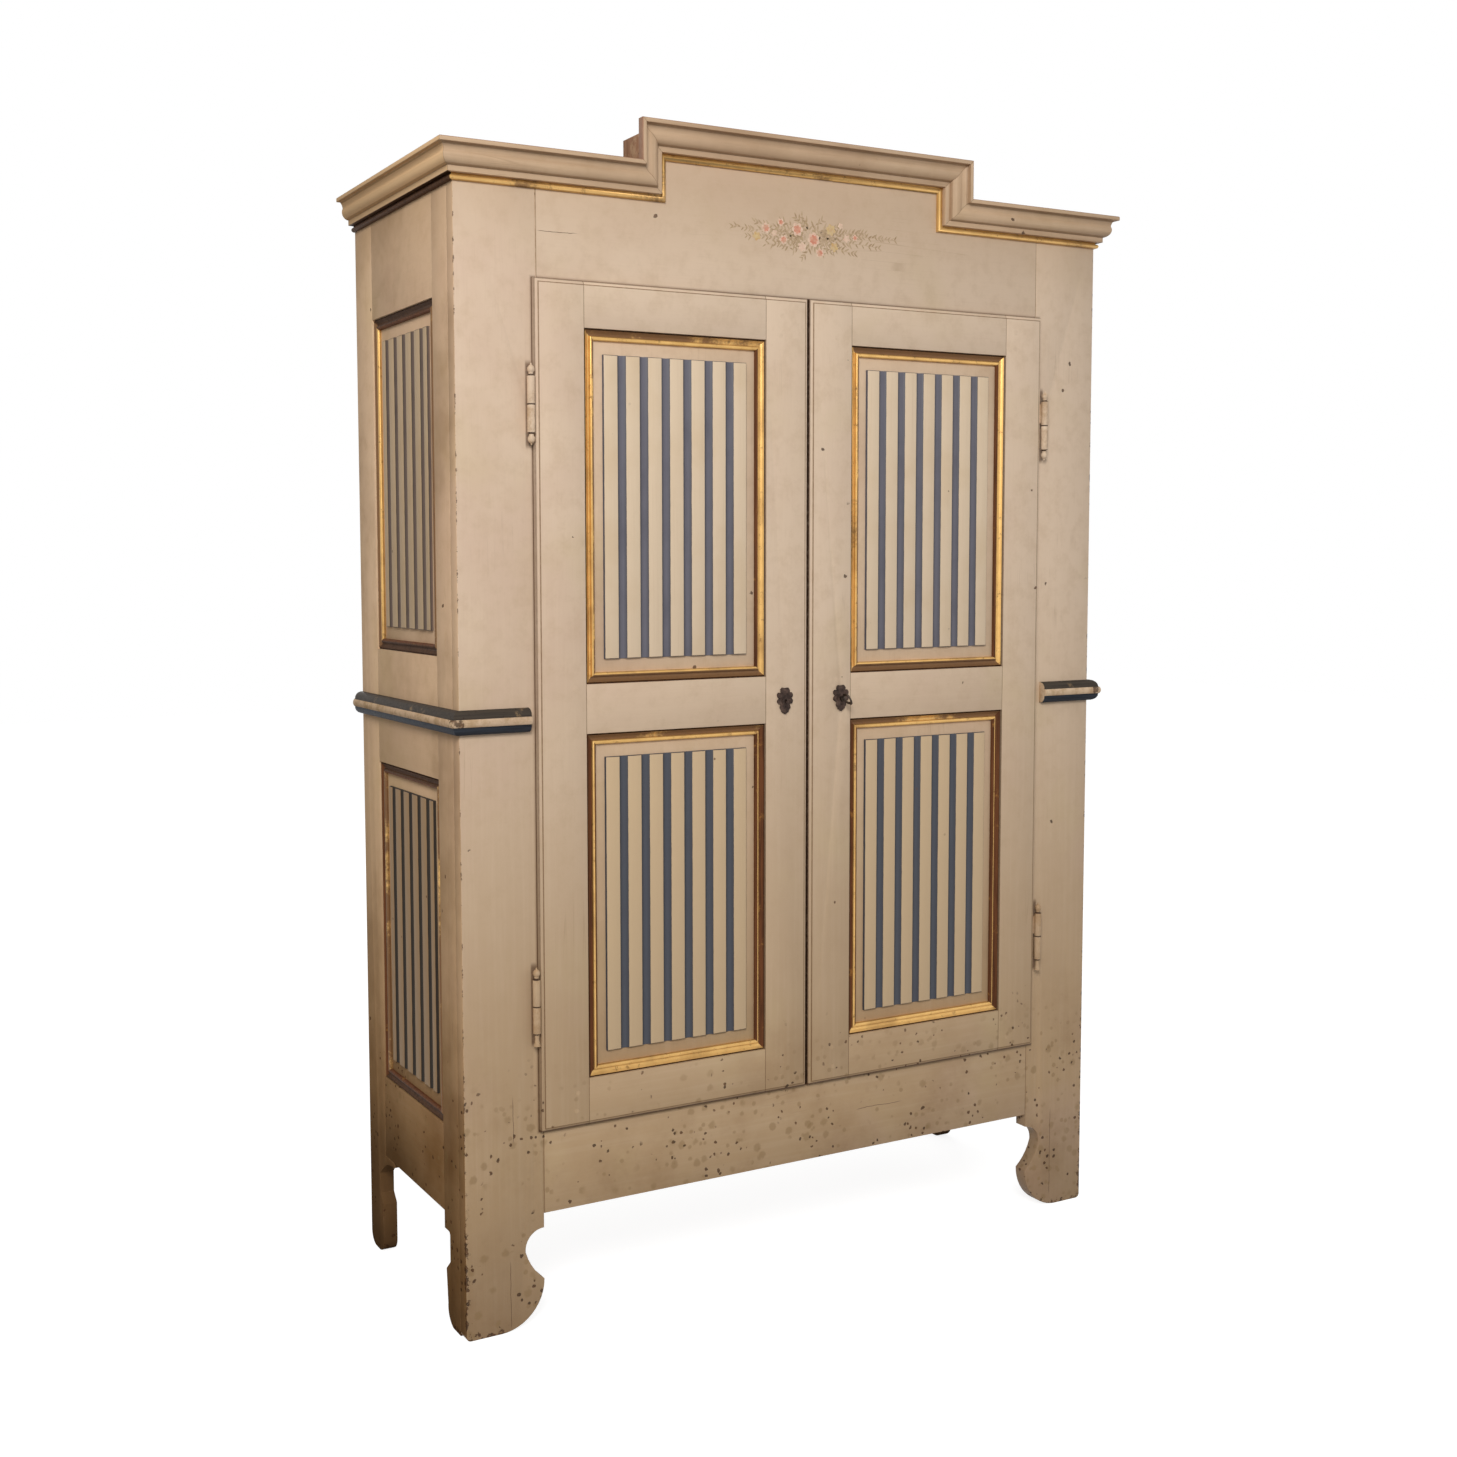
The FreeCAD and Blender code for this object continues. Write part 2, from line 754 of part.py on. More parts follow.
def crest_block():
    """Block behind the left riser of the cornice."""
    return box(-crest_half + crest_block_in, -crest_half + crest_rebate_high, face - crest_rebate_deep,
               in_front + crest_block_back, cornice_low + cornice_high, crest_high - crest_block_drop)


# Inside of the case

def lengthwise(count, x0, x1, y0, y1, z0, z1):
    """Boards side by side from front to back."""
    pitch = (y1 - y0 + liner_gap) / count
    return [box(x0, x1, y0 + i * pitch, y0 + (i + 1) * pitch - liner_gap, z0, z1) for i in range(count)]


def back_planks():
    """Upright back boards, tongued into each other."""
    low = apron_low + back_up
    pitch = (2 * in_half + liner_gap) / back_board_count
    tongue_t = back_board_t * back_tongue_share
    tongue_y = back_board_front + (back_board_t - tongue_t) / 2
    planks = []
    for i in range(back_board_count):
        x0 = -in_half + i * pitch
        plank = box(x0, x0 + pitch - liner_gap, back_board_front, back, low, stile_top)
        if i > 0:
            plank = plank.cut(box(x0, x0 + back_tongue, tongue_y, tongue_y + tongue_t, low, stile_top))
        if i < back_board_count - 1:
            tongue = box(x0 + pitch - 2 * liner_gap, x0 + pitch + back_tongue - liner_gap, tongue_y,
                         tongue_y + tongue_t, low, stile_top)
            plank = joined([plank, tongue])
        planks.append(plank)
    return planks


def bearers(top, front):
    """Battens under boards, along both sides and behind the front."""
    low = top - bearer_high
    side = box(-in_half, -in_half + bearer_wide, front, back_rail_front, low, top)
    across = box(-in_half + bearer_wide, in_half - bearer_wide, front, front + bearer_wide, low, top)
    return [side, mirrored(side), across]


def rod_cleat():
    """Left block that carries the hanging rod, with its lower corners taken off."""
    mid = (in_front + back_rail_front) / 2
    top = shelf_low - bearer_high
    y0 = mid - cleat_wide / 2
    corners = [(0, cleat_chamfer), (cleat_chamfer, 0), (cleat_wide - cleat_chamfer, 0),
               (cleat_wide, cleat_chamfer), (cleat_wide, cleat_high), (0, cleat_high)]
    block = slab(corners, lambda a, c: Vector(-in_half, y0 + a, top - cleat_high + c), Vector(cleat_t, 0, 0))
    inner = -in_half + cleat_t
    return block.cut(rod(rod_r + rod_fit, Vector(inner - rod_in, mid, top - cleat_high / 2),
                         Vector(rod_in + overrun, 0, 0)))


def hanging_rod():
    """Round rail between the cleats, resting in their holes."""
    mid = (in_front + back_rail_front) / 2
    x = -in_half + cleat_t - rod_in + rod_fit
    z = shelf_low - bearer_high - cleat_high / 2
    return rod(rod_r, Vector(x, mid, z), Vector(-2 * x, 0, 0))


# Hinges

def knuckle_ends(z, upper):
    """Bottom and top of a knuckle of the hinge centred on z."""
    if upper:
        return z + knuckle_gap / 2, z + knuckle_gap / 2 + knuckle_high
    return z - knuckle_gap / 2 - knuckle_high, z - knuckle_gap / 2


def door_leaf(z, grow):
    """Plate of a left hinge's upper half, let into the edge of the door's lip."""
    low, high = knuckle_ends(z, True)
    y0 = hinge_y + leaf_back
    return box(hinge_x, door_left + door_leaf_in + grow, y0 - grow, y0 + leaf_t + grow,
               low + leaf_margin - grow, high - leaf_margin + grow)


def case_leaf(z, grow):
    """Plate of a left hinge's lower half, straight back into the front stile."""
    low, high = knuckle_ends(z, False)
    return box(hinge_x - leaf_t / 2 - grow, hinge_x + leaf_t / 2 + grow, hinge_y,
               face + case_leaf_in + grow, low + leaf_margin - grow, high - leaf_margin + grow)


def turned_end(steps, z, way):
    """Turned end of a hinge from its neck on, as an outline of (radius, height)."""
    neck = (finial_neck_r, finial_neck)
    stations = [(finial_neck_r, 0), neck] + [step[0] for step in chorded(neck, steps, turned_chords)]
    return faceted(stations, Vector(hinge_x, hinge_y, z), Vector(0, 0, way), turned_sides)


def finial(z, way):
    """Ball end with a small tip."""
    ball = finial_neck + 2 * finial_ball_r
    return turned_end([((finial_ball_r, finial_neck + finial_ball_r), (finial_tip_r, ball)),
                       ((finial_tip_r, ball + finial_tip),)], z, way)


def bell(z):
    """Bell end below a lower hinge."""
    return turned_end([((finial_neck_r, finial_neck + bell_long / 2),
                        (bell_mouth_r, finial_neck + bell_long))], z, -1)


def door_hinge(z):
    """Upper half of a left hinge: bored knuckle, plate and finial."""
    low, high = knuckle_ends(z, True)
    knuckle = prism(hinge_r, Vector(hinge_x, hinge_y, low), Vector(0, 0, knuckle_high), turned_sides)
    whole = joined([knuckle, door_leaf(z, 0), finial(high, 1)])
    return whole.cut(rod(hinge_pin_r + hinge_pin_fit, Vector(hinge_x, hinge_y, low - overrun),
                         Vector(0, 0, hinge_pin_long + 2 * overrun)))


def case_hinge(z, end):
    """Lower half of a left hinge: knuckle, pin, plate and the turned end given."""
    low, high = knuckle_ends(z, False)
    knuckle = prism(hinge_r, Vector(hinge_x, hinge_y, low), Vector(0, 0, knuckle_high), turned_sides)
    pin = rod(hinge_pin_r, Vector(hinge_x, hinge_y, low), Vector(0, 0, knuckle_high + hinge_pin_long))
    return joined([knuckle, pin, case_leaf(z, 0), end(low)])


# Lock, key and bolts

def escutcheon(x):
    """Pierced rose of lobes with a drop of shrinking discs, and a boss round the keyhole."""
    z = lock_z + scutcheon_up
    through = Vector(0, -scutcheon_t, 0)
    discs = [prism(scutcheon_core_r, Vector(x, door_face, z), through, turned_sides)]
    for i in range(lobe_count):
        turn = 2 * math.pi * (i + 0.5) / lobe_count
        place = Vector(x + lobe_ring_r * math.cos(turn), door_face, z + lobe_ring_r * math.sin(turn))
        discs.append(prism(lobe_r, place, through, lobe_sides))
    drop_z = z - scutcheon_core_r
    for i in range(drop_count):
        r = drop_first_r * drop_shrink_share ** i
        discs.append(prism(r, Vector(x, door_face, drop_z), through, turned_sides))
        drop_z -= drop_pitch
    deep = scutcheon_t + boss_t
    discs.append(prism(boss_r, Vector(x, door_face, lock_z), Vector(0, -deep, 0), turned_sides))
    y0 = door_face - deep - overrun
    y1 = door_face + overrun
    hole = rod(key_r + key_fit, Vector(x, y0, lock_z), Vector(0, y1 - y0, 0))
    return joined(discs).cut(keyhole(hole, x, y0, y1))


def lock_case():
    """Open-fronted case on the back of the right door, with the bolt's slot, stump and key bore."""
    x0 = -door_meet + lock_edge_in
    x1 = x0 + lock_wide
    z0 = lock_z - lock_below
    z1 = lock_z + lock_above
    y1 = door_back + lock_deep
    case = box(x0, x1, door_back, y1, z0, z1)
    case = case.cut(box(x0 + lock_wall, x1 - lock_wall, door_back - overrun, y1 - lock_wall,
                        z0 + lock_wall, z1 - lock_wall))
    case = case.cut(box(x0 - overrun, x0 + lock_wall + overrun, bolt_mid_y - bolt_t / 2 - bolt_fit,
                        bolt_mid_y + bolt_t / 2 + bolt_fit, bolt_low - bolt_fit,
                        bolt_low + bolt_high + bolt_fit))
    case = case.cut(rod(key_pilot_r + key_fit, Vector(key_x, door_back, lock_z),
                        Vector(0, lock_deep + overrun, 0)))
    stump_z = bolt_low + (bolt_high + talon_deep) / 2
    return joined([case, prism(stump_r, Vector(x0 + stump_in, door_back + lock_wall, stump_z),
                               Vector(0, lock_deep - 2 * lock_wall, 0), turned_sides)])


def lock_bolt():
    """Sliding bolt of the lock: a bar with a rounded-end slot for the stump and a talon for the key."""
    x0 = -door_meet + bolt_nose_in
    y0 = bolt_mid_y - bolt_t / 2
    bar = box(x0, x0 + bolt_long, y0, y0 + bolt_t, bolt_low, bolt_low + bolt_high)
    stump_z = bolt_low + (bolt_high + talon_deep) / 2
    r = stump_r + bolt_fit
    through = Vector(0, bolt_t + 2 * overrun, 0)
    stump_x = -door_meet + lock_edge_in + stump_in
    ends = [rod(r, Vector(x, y0 - overrun, stump_z), through) for x in (stump_x, stump_x + bolt_throw)]
    slot = box(stump_x, stump_x + bolt_throw, y0 - overrun, y0 + bolt_t + overrun, stump_z - r, stump_z + r)
    mid = key_x + talon_off
    talon = box(mid - talon_wide / 2, mid + talon_wide / 2, y0 - overrun, y0 + bolt_t + overrun,
                bolt_low - overrun, bolt_low + talon_deep)
    return bar.cut(ends + [slot, talon])


def lock_keeper():
    """Box staple on the back of the left door that takes the lock bolt."""
    y1 = bolt_mid_y + bolt_t / 2 + keep_room
    z0 = bolt_low - keep_room
    z1 = bolt_low + bolt_high + keep_room
    x0 = door_meet - keep_wide
    outer = box(x0, door_meet, door_back, y1 + keep_wall, z0 - keep_wall, z1 + keep_wall)
    return outer.cut(box(x0 + keep_wall, door_meet + overrun, door_back - overrun, y1, z0, z1))


def key():
    """Key with an oval wire bow, a collar and a notched bit, turned as it stands at rest."""
    boss = door_face - scutcheon_t - boss_t
    collar = boss - key_neck
    case_wall = door_back + lock_deep - lock_wall
    bit_y = bolt_mid_y - key_bit_wide / 2
    stem = rod(key_r, Vector(key_x, collar, lock_z), Vector(0, bit_y + key_bit_wide - collar, 0))
    pilot = rod(key_pilot_r, Vector(key_x, bit_y, lock_z), Vector(0, case_wall + lock_wall - bit_y, 0))
    disc = prism(key_collar_r, Vector(key_x, collar, lock_z), Vector(0, -key_collar_t, 0), turned_sides)
    bit = box(key_x - key_bit_t / 2, key_x + key_bit_t / 2, bit_y, bit_y + key_bit_wide,
              lock_z - key_bit_r, lock_z)
    notch_y = bit_y + (key_bit_wide - key_bit_notch) / 2
    bit = bit.cut(box(key_x - key_bit_t, key_x + key_bit_t, notch_y, notch_y + key_bit_notch,
                      lock_z - key_bit_r - overrun, lock_z - key_bit_r + key_bit_notch))
    r = key_bow_half - key_wire_r
    y1 = collar - key_collar_t - key_bow_half + key_wire_r / 2
    y0 = y1 - key_bow_long
    outline = chorded((y1, r), [((y1 + r, 0), (y1, -r)), ((y0, -r),), ((y0 - r, 0), (y0, r))], turned_chords)
    loop = [Vector(key_x, step[0][0], lock_z + step[0][1]) for step in [((y1, r),)] + outline]
    path = Part.makePolygon(loop + loop[:1])
    bow = path.makePipeShell([ring(key_wire_r, (loop[0] + loop[-1]) / 2, Vector(0, 1, 0), lobe_sides)],
                             True, False, 1)
    whole = joined([stem, pilot, disc, bit, bow])
    whole.rotate(Vector(key_x, 0, lock_z), Vector(0, -1, 0), key_turned_deg)
    return whole


def slide_ends(upper):
    """Bottom and top of a door bolt at rest, drawn back inside the door."""
    if upper:
        top = door_hole_high - door_edge_gap - slide_short
        return top - slide_long, top
    low = door_hole_low + door_edge_gap + slide_short
    return low, low + slide_long


def slide_mortise(low, high):
    """Mortise in the case that a thrown door bolt enters."""
    x1 = door_meet - slide_edge_in
    y0 = door_back + slide_fit
    return box(x1 - slide_wide - slide_room, x1 + slide_room, y0 - slide_room, y0 + slide_t + slide_room,
               low, high)


def staple(z):
    """Strap with two feet that holds a door bolt against the door, from height z."""
    x1 = door_meet - slide_edge_in
    x0 = x1 - slide_wide
    top = door_back + slide_t + 2 * slide_fit
    strap = box(x0 - slide_fit - staple_t, x1 + slide_fit + staple_t, door_back, top + staple_t,
                z, z + staple_high)
    strap = strap.cut(box(x0 - slide_fit, x1 + slide_fit, door_back, top, z, z + staple_high))
    wide = staple_t + staple_foot
    feet = [box(x0 - slide_fit - wide, x0 - slide_fit, door_back, door_back + staple_t, z, z + staple_high),
            box(x1 + slide_fit, x1 + slide_fit + wide, door_back, door_back + staple_t, z, z + staple_high)]
    return joined([strap] + feet)


def staple_places(upper):
    """Lower edges of the two staples of a door bolt."""
    low, high = slide_ends(upper)
    reach = slide_long * staple_place_share
    return low + reach, high - reach - staple_high


def door_bolt(upper):
    """Flat bolt with a waisted knob that stops against a staple when the bolt is drawn."""
    low, high = slide_ends(upper)
    x1 = door_meet - slide_edge_in
    y0 = door_back + slide_fit
    bar = box(x1 - slide_wide, x1, y0, y0 + slide_t, low, high)
    first, second = staple_places(upper)
    z = first + staple_high + knob_gap + knob_r if upper else second - knob_gap - knob_r
    axis = Vector(x1 - slide_wide / 2, y0 + slide_t, z)
    waist = prism(knob_waist_r, axis, Vector(0, knob_long, 0), turned_sides)
    head = prism(knob_r, axis + Vector(0, knob_long / 2, 0), Vector(0, knob_long / 2, 0), turned_sides)
    return joined([bar, waist, head])


# The whole wardrobe

nodes = {}


def pair(name, shape):
    """Keep a left piece and its mirror image as two nodes."""
    nodes[name + "_left"] = shape
    nodes[name + "_right"] = mirrored(shape)


pair("front_post", front_stile())
side_front, side_back, side_rails = side_frame()
pair("side_front_stile", side_front)
pair("side_back_stile", side_back)
pair("side_rails", grouped(side_rails))
side_holes = (side_hole_low, side_hole_2)
pair("side_panels", grouped([on_side(panel_board(0, 0, z, side_panel_wide)) for z in side_holes]))
pair("side_fluted_boards",
     grouped([on_side(fluted_board(0, 0, z, side_panel_wide, side_flute_count, side_flute_margin))
              for z in side_holes]))
pair("side_mouldings",
     grouped([on_side(strip) for z in side_holes for strip in panel_mouldings(0, 0, z, side_panel_wide)]))

nodes["frieze_board"] = frieze()
nodes["apron"] = apron()
nodes["back_rails"] = grouped(
    [box(-in_half, in_half, back_rail_front, back_board_front, top - back_rail_high, top)
     for top in (floor_top - liner_t, floor_top + back_rail_mid_up, roof_low)])
nodes["back_boards"] = grouped(back_planks())
nodes["top_boards"] = grouped(
    lengthwise(roof_count, -in_half, in_half, in_front, back_board_front, roof_low, stile_top))
nodes["bottom_boards"] = grouped(
    lengthwise(floor_count, -in_half, in_half, in_front, back_board_front, floor_top - liner_t, floor_top))
nodes["board_bearers"] = grouped(bearers(floor_top - liner_t, in_front) + bearers(roof_low, in_front))
shelf_front = in_front + shelf_front_in
nodes["shelf"] = grouped(
    lengthwise(shelf_count, -in_half, in_half, shelf_front, back_board_front, shelf_low, shelf_top))
nodes["shelf_bearers"] = grouped(bearers(shelf_low, shelf_front))
nodes["hanging_rod"] = hanging_rod()
nodes["rod_cleats"] = grouped([rod_cleat(), mirrored(rod_cleat())])

crest_profile = cornice_profile(True)
side_piece, lower_piece, riser_piece, raised_piece = cornice_runs(cornice_profile(False), crest_profile)
side_bead, lower_bead, riser_bead, raised_bead = cornice_runs(bead_profile(), bead_profile())
pair("cornice_side", grouped([side_piece, side_bead]))
pair("cornice_front", lower_piece)
pair("cornice_riser", riser_piece)
nodes["cornice_raised"] = raised_piece
nodes["cornice_beads"] = grouped(
    [lower_bead, riser_bead, raised_bead, mirrored(riser_bead), mirrored(lower_bead)])
nodes["crest_blocks"] = grouped([crest_block(), mirrored(crest_block())])
pair("belt", grouped(belt()))
pair("case_hinge_halves",
     grouped([case_hinge(hinge_high_z, lambda z: finial(z, -1)), case_hinge(hinge_low_z, bell)]))

outer_stile, meeting_stile, door_rails = door_frame()
keyhole_front = door_face - overrun
keyhole_back = door_back + overrun
keyhole_bore = prism(keyhole_r, Vector(key_x, keyhole_front, lock_z),
                     Vector(0, keyhole_back - keyhole_front, 0), turned_sides)
keyhole_cut = keyhole(keyhole_bore, key_x, keyhole_front, keyhole_back)
nodes["door_left_stiles"] = grouped([outer_stile, meeting_stile])
nodes["door_right_stiles"] = grouped([mirrored(outer_stile), mirrored(meeting_stile).cut(keyhole_cut)])
panel_x = door_left + door_stile_wide
door_holes = (door_hole_1, door_hole_2)
door_sets = {
    "rails": door_rails,
    "panels": [panel_board(panel_x, door_face, z, door_panel_wide) for z in door_holes],
    "fluted_boards": [
        fluted_board(panel_x, door_face, z, door_panel_wide, door_flute_count, door_flute_margin)
        for z in door_holes],
    "mouldings": [s for z in door_holes for s in panel_mouldings(panel_x, door_face, z, door_panel_wide)],
    "hinge_halves": [door_hinge(z) for z in (hinge_high_z, hinge_low_z)]}
for name, shapes in door_sets.items():
    nodes["door_left_" + name] = grouped(shapes)
    nodes["door_right_" + name] = grouped([mirrored(shape) for shape in shapes])
nodes["door_right_rails"] = grouped([mirrored(rail).cut(keyhole_cut) for rail in door_rails])
nodes["door_left_escutcheon"] = escutcheon(door_meet - door_stile_wide + left_key_in)
nodes["door_right_escutcheon"] = escutcheon(key_x)
nodes["bolt_staples"] = grouped([staple(z) for upper in (True, False) for z in staple_places(upper)])
nodes["lock_keeper"] = lock_keeper()
nodes["lock_case"] = lock_case()
nodes["lock_bolt"] = lock_bolt()
nodes["key"] = key()
nodes["top_bolt"] = door_bolt(True)
nodes["bottom_bolt"] = door_bolt(False)

os.makedirs("parts", exist_ok=True)
for name, shape in nodes.items():
    shape.exportStep("parts/" + name + ".step")
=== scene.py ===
"""Painted two-door wardrobe: its finishes, refined mouldings and studio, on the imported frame.

Metres, +Z up. The doors face -Y and the origin is on the floor in the middle of the plan.
"""

import logging
import math
import random
from dataclasses import dataclass, field
from enum import Enum
from typing import Callable, Sequence

import bmesh
import bpy
from mathutils import Matrix, Vector


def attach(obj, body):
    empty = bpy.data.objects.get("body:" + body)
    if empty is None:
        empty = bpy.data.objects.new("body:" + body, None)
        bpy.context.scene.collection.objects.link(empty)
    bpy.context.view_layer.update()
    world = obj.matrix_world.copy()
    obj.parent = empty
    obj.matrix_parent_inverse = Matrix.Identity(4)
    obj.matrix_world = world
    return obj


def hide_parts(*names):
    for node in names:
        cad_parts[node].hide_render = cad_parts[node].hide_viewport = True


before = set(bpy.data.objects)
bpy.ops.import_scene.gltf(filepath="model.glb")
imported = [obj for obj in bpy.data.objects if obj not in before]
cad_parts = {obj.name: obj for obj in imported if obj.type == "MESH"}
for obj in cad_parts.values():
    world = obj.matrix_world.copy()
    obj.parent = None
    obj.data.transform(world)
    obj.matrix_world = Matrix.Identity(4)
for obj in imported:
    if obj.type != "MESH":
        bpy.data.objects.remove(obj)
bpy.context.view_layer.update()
log = logging.getLogger("wardrobe")
Colour = tuple[float, float, float]
MM = 0.001


def srgb(red: int, green: int, blue: int) -> Colour:
    """Turn a screen colour into the linear colour that shaders use.

    Args:
        red: Red from 0 to 255.
        green: Green from 0 to 255.
        blue: Blue from 0 to 255.

    Returns:
        The linear colour.
    """
    def linear(value: int) -> float:
        """Undo the screen curve of one channel."""
        part = value / 255
        return part / 12.92 if part <= 0.04045 else ((part + 0.055) / 1.055) ** 2.4
    return linear(red), linear(green), linear(blue)


class Grain(Enum):
    """Direction in which a board's grain and brush strokes run."""

    UPRIGHT = (1.0, 1.0, 0.035)
    ACROSS = (0.035, 1.0, 1.0)
    DEEP = (1.0, 0.035, 1.0)


class Side(Enum):
    """Left or right half of the wardrobe, as its sign along X."""

    LEFT = -1
    RIGHT = 1

    @property
    def word(self) -> str:
        """The side's name as the CAD nodes spell it."""
        return self.name.lower()


# Shader arithmetic


class Wire:
    """An output socket of a node, on which arithmetic adds Math nodes."""

    def __init__(self, layout: "Layout", socket: bpy.types.NodeSocket) -> None:
        """Wrap a socket.

        Args:
            layout: The node tree that it is in.
            socket: The output socket.
        """
        self.layout = layout
        self.socket = socket

    def _math(self, operation: str, first: "Wire | float", second: "Wire | float") -> "Wire":
        """Add one Math node.

        Args:
            operation: The node's operation.
            first: Its first value.
            second: Its second value.

        Returns:
            The result.
        """
        return self.layout.node("ShaderNodeMath", {"operation": operation}, {0: first, 1: second})

    def __add__(self, other: "Wire | float") -> "Wire":
        """self + other."""
        return self._math("ADD", self, other)

    def __radd__(self, other: float) -> "Wire":
        """other + self."""
        return self._math("ADD", other, self)

    def __sub__(self, other: "Wire | float") -> "Wire":
        """self - other."""
        return self._math("SUBTRACT", self, other)

    def __rsub__(self, other: float) -> "Wire":
        """other - self."""
        return self._math("SUBTRACT", other, self)

    def __mul__(self, other: "Wire | float") -> "Wire":
        """self * other."""
        return self._math("MULTIPLY", self, other)

    def __rmul__(self, other: float) -> "Wire":
        """other * self."""
        return self._math("MULTIPLY", other, self)

    def __truediv__(self, other: "Wire | float") -> "Wire":
        """self / other."""
        return self._math("DIVIDE", self, other)

    def __abs__(self) -> "Wire":
        """The size of the value."""
        return self._math("ABSOLUTE", self, 0.0)

    def most(self, other: "Wire | float") -> "Wire":
        """The larger of the two."""
        return self._math("MAXIMUM", self, other)

    def least(self, other: "Wire | float") -> "Wire":
        """The smaller of the two."""
        return self._math("MINIMUM", self, other)

    def rise(self, low: float, high: float) -> "Wire":
        """Smooth mask that goes from 0 at low to 1 at high.

        Args:
            low: Where the mask starts; above high for a falling mask.
            high: Where it is full.

        Returns:
            The mask.
        """
        if low > high:
            return 1.0 - self.rise(high, low)
        return self.layout.node("ShaderNodeMapRange", {"interpolation_type": "SMOOTHSTEP"},
                                {"Value": self, "From Min": low, "From Max": high})


class Layout:
    """A node tree being laid out."""

    def __init__(self, tree: bpy.types.NodeTree) -> None:
        """Start from an empty tree.

        Args:
            tree: The tree of a material or world.
        """
        self.tree = tree
        tree.nodes.clear()

    def add(self, kind: str, settings: dict, inputs: dict) -> bpy.types.Node:
        """Add one node.

        Args:
            kind: The node's type.
            settings: Attributes to set first.
            inputs: Values or wires by socket name or number.

        Returns:
            The node.
        """
        node = self.tree.nodes.new(kind)
        for name, value in settings.items():
            setattr(node, name, value)
        for name, value in inputs.items():
            if isinstance(value, Wire):
                self.tree.links.new(value.socket, node.inputs[name])
            else:
                node.inputs[name].default_value = value
        return node

    def node(self, kind: str, settings: dict, inputs: dict, out: int | str = 0) -> Wire:
        """Add one node for one of its outputs.

        Args:
            kind: The node's type.
            settings: Attributes to set first.
            inputs: Values or wires by socket name or number.
            out: The output wanted.

        Returns:
            That output.
        """
        return Wire(self, self.add(kind, settings, inputs).outputs[out])

    def seen(self) -> Wire:
        """1 for a ray from the camera or a shine, otherwise 0."""
        rays = self.add("ShaderNodeLightPath", {}, {}).outputs
        return Wire(self, rays["Is Camera Ray"]).most(Wire(self, rays["Is Glossy Ray"]))


class Bench(Layout):
    """One material being mixed on a Principled shader."""

    def __init__(self, name: str) -> None:
        """Start the material.

        Args:
            name: The material's name.
        """
        self.material = bpy.data.materials.new(name)
        self.material.use_nodes = True
        super().__init__(self.material.node_tree)
        self.shader = self.add("ShaderNodeBsdfPrincipled", {}, {})
        self.add("ShaderNodeOutputMaterial", {}, {0: Wire(self, self.shader.outputs[0])})
        self.place = self.node("ShaderNodeTexCoord", {}, {}, "Object")
        parts = self.add("ShaderNodeSeparateXYZ", {}, {0: self.place}).outputs
        self.x, self.y, self.z = (Wire(self, part) for part in parts)

    def stretched(self, scale: Sequence[float]) -> Wire:
        """Object coordinates, scaled on each axis.

        Args:
            scale: Scale on X, Y and Z.

        Returns:
            The stretched coordinates.
        """
        return self.node("ShaderNodeMapping", {}, {"Vector": self.place, "Scale": tuple(scale)})

    def noise(self, scale: float, detail: float = 3.0, rough: float = 0.55,
              at: Wire | None = None) -> Wire:
        """Cloudy noise from 0 to 1.

        Args:
            scale: Patches to the metre.
            detail: Octaves.
            rough: How strong the finer octaves are.
            at: Coordinates, or None for the object's own.

        Returns:
            The noise.
        """
        return self.node("ShaderNodeTexNoise", {}, {"Vector": at or self.place, "Scale": scale,
                                                    "Detail": detail, "Roughness": rough})

    def warped(self, scale: float, shift: float) -> Wire:
        """Object coordinates, shifted about by noise.

        Args:
            scale: Patches of shift to the metre.
            shift: Largest shift in metres.

        Returns:
            The shifted coordinates.
        """
        sway = self.node("ShaderNodeTexNoise", {},
                         {"Vector": self.place, "Scale": scale, "Detail": 3.0}, "Color")
        return self.node("ShaderNodeVectorMath", {"operation": "MULTIPLY_ADD"},
                         {0: sway, 1: (shift, shift, shift), 2: self.place})

    def cells(self, scale: float, feature: str = "F1", at: Wire | None = None) -> Wire:
        """Distance to scattered points or to the borders between them.

        Args:
            scale: Points to the metre.
            feature: Which distance.
            at: Coordinates, or None for the object's own.

        Returns:
            The distance, in cells.
        """
        return self.node("ShaderNodeTexVoronoi", {"feature": feature},
                         {"Vector": at or self.place, "Scale": scale}, "Distance")

    def blend(self, share: Wire | float, under: "Wire | Colour", over: "Wire | Colour",
              way: str = "MIX") -> Wire:
        """Mix two colours.

        Args:
            share: How much of the second shows.
            under: First colour.
            over: Second colour.
            way: Blend type.

        Returns:
            The mixed colour.
        """
        def full(colour: "Wire | Colour") -> "Wire | tuple":
            """A wire as it is, or a colour with its alpha."""
            return colour if isinstance(colour, Wire) else (*colour, 1.0)
        factor, first, second, result = 0, 6, 7, 2
        return self.node("ShaderNodeMix",
                         {"data_type": "RGBA", "blend_type": way, "clamp_factor": True},
                         {factor: share, first: full(under), second: full(over)}, result)

    def relief(self, height: Wire, strength: float, deep: float = MM) -> None:
        """Feed a Bump node from a height into the shader's normal.

        Args:
            height: Height from 0 to 1.
            strength: Strength of the bump.
            deep: Height in metres that 1 stands for.
        """
        bump = self.node("ShaderNodeBump", {},
                         {"Height": height, "Strength": strength, "Distance": deep})
        self.tree.links.new(bump.socket, self.shader.inputs["Normal"])

    def feed(self, **sockets: "Wire | float") -> None:
        """Set or link the shader's sockets; an underscore in a name stands for a space."""
        for name, value in sockets.items():
            socket = self.shader.inputs[name.replace("_", " ").title().replace("Ior", "IOR")]
            if isinstance(value, Wire):
                self.tree.links.new(value.socket, socket)
            else:
                socket.default_value = value


# Places on the wardrobe that finishes and pieces share

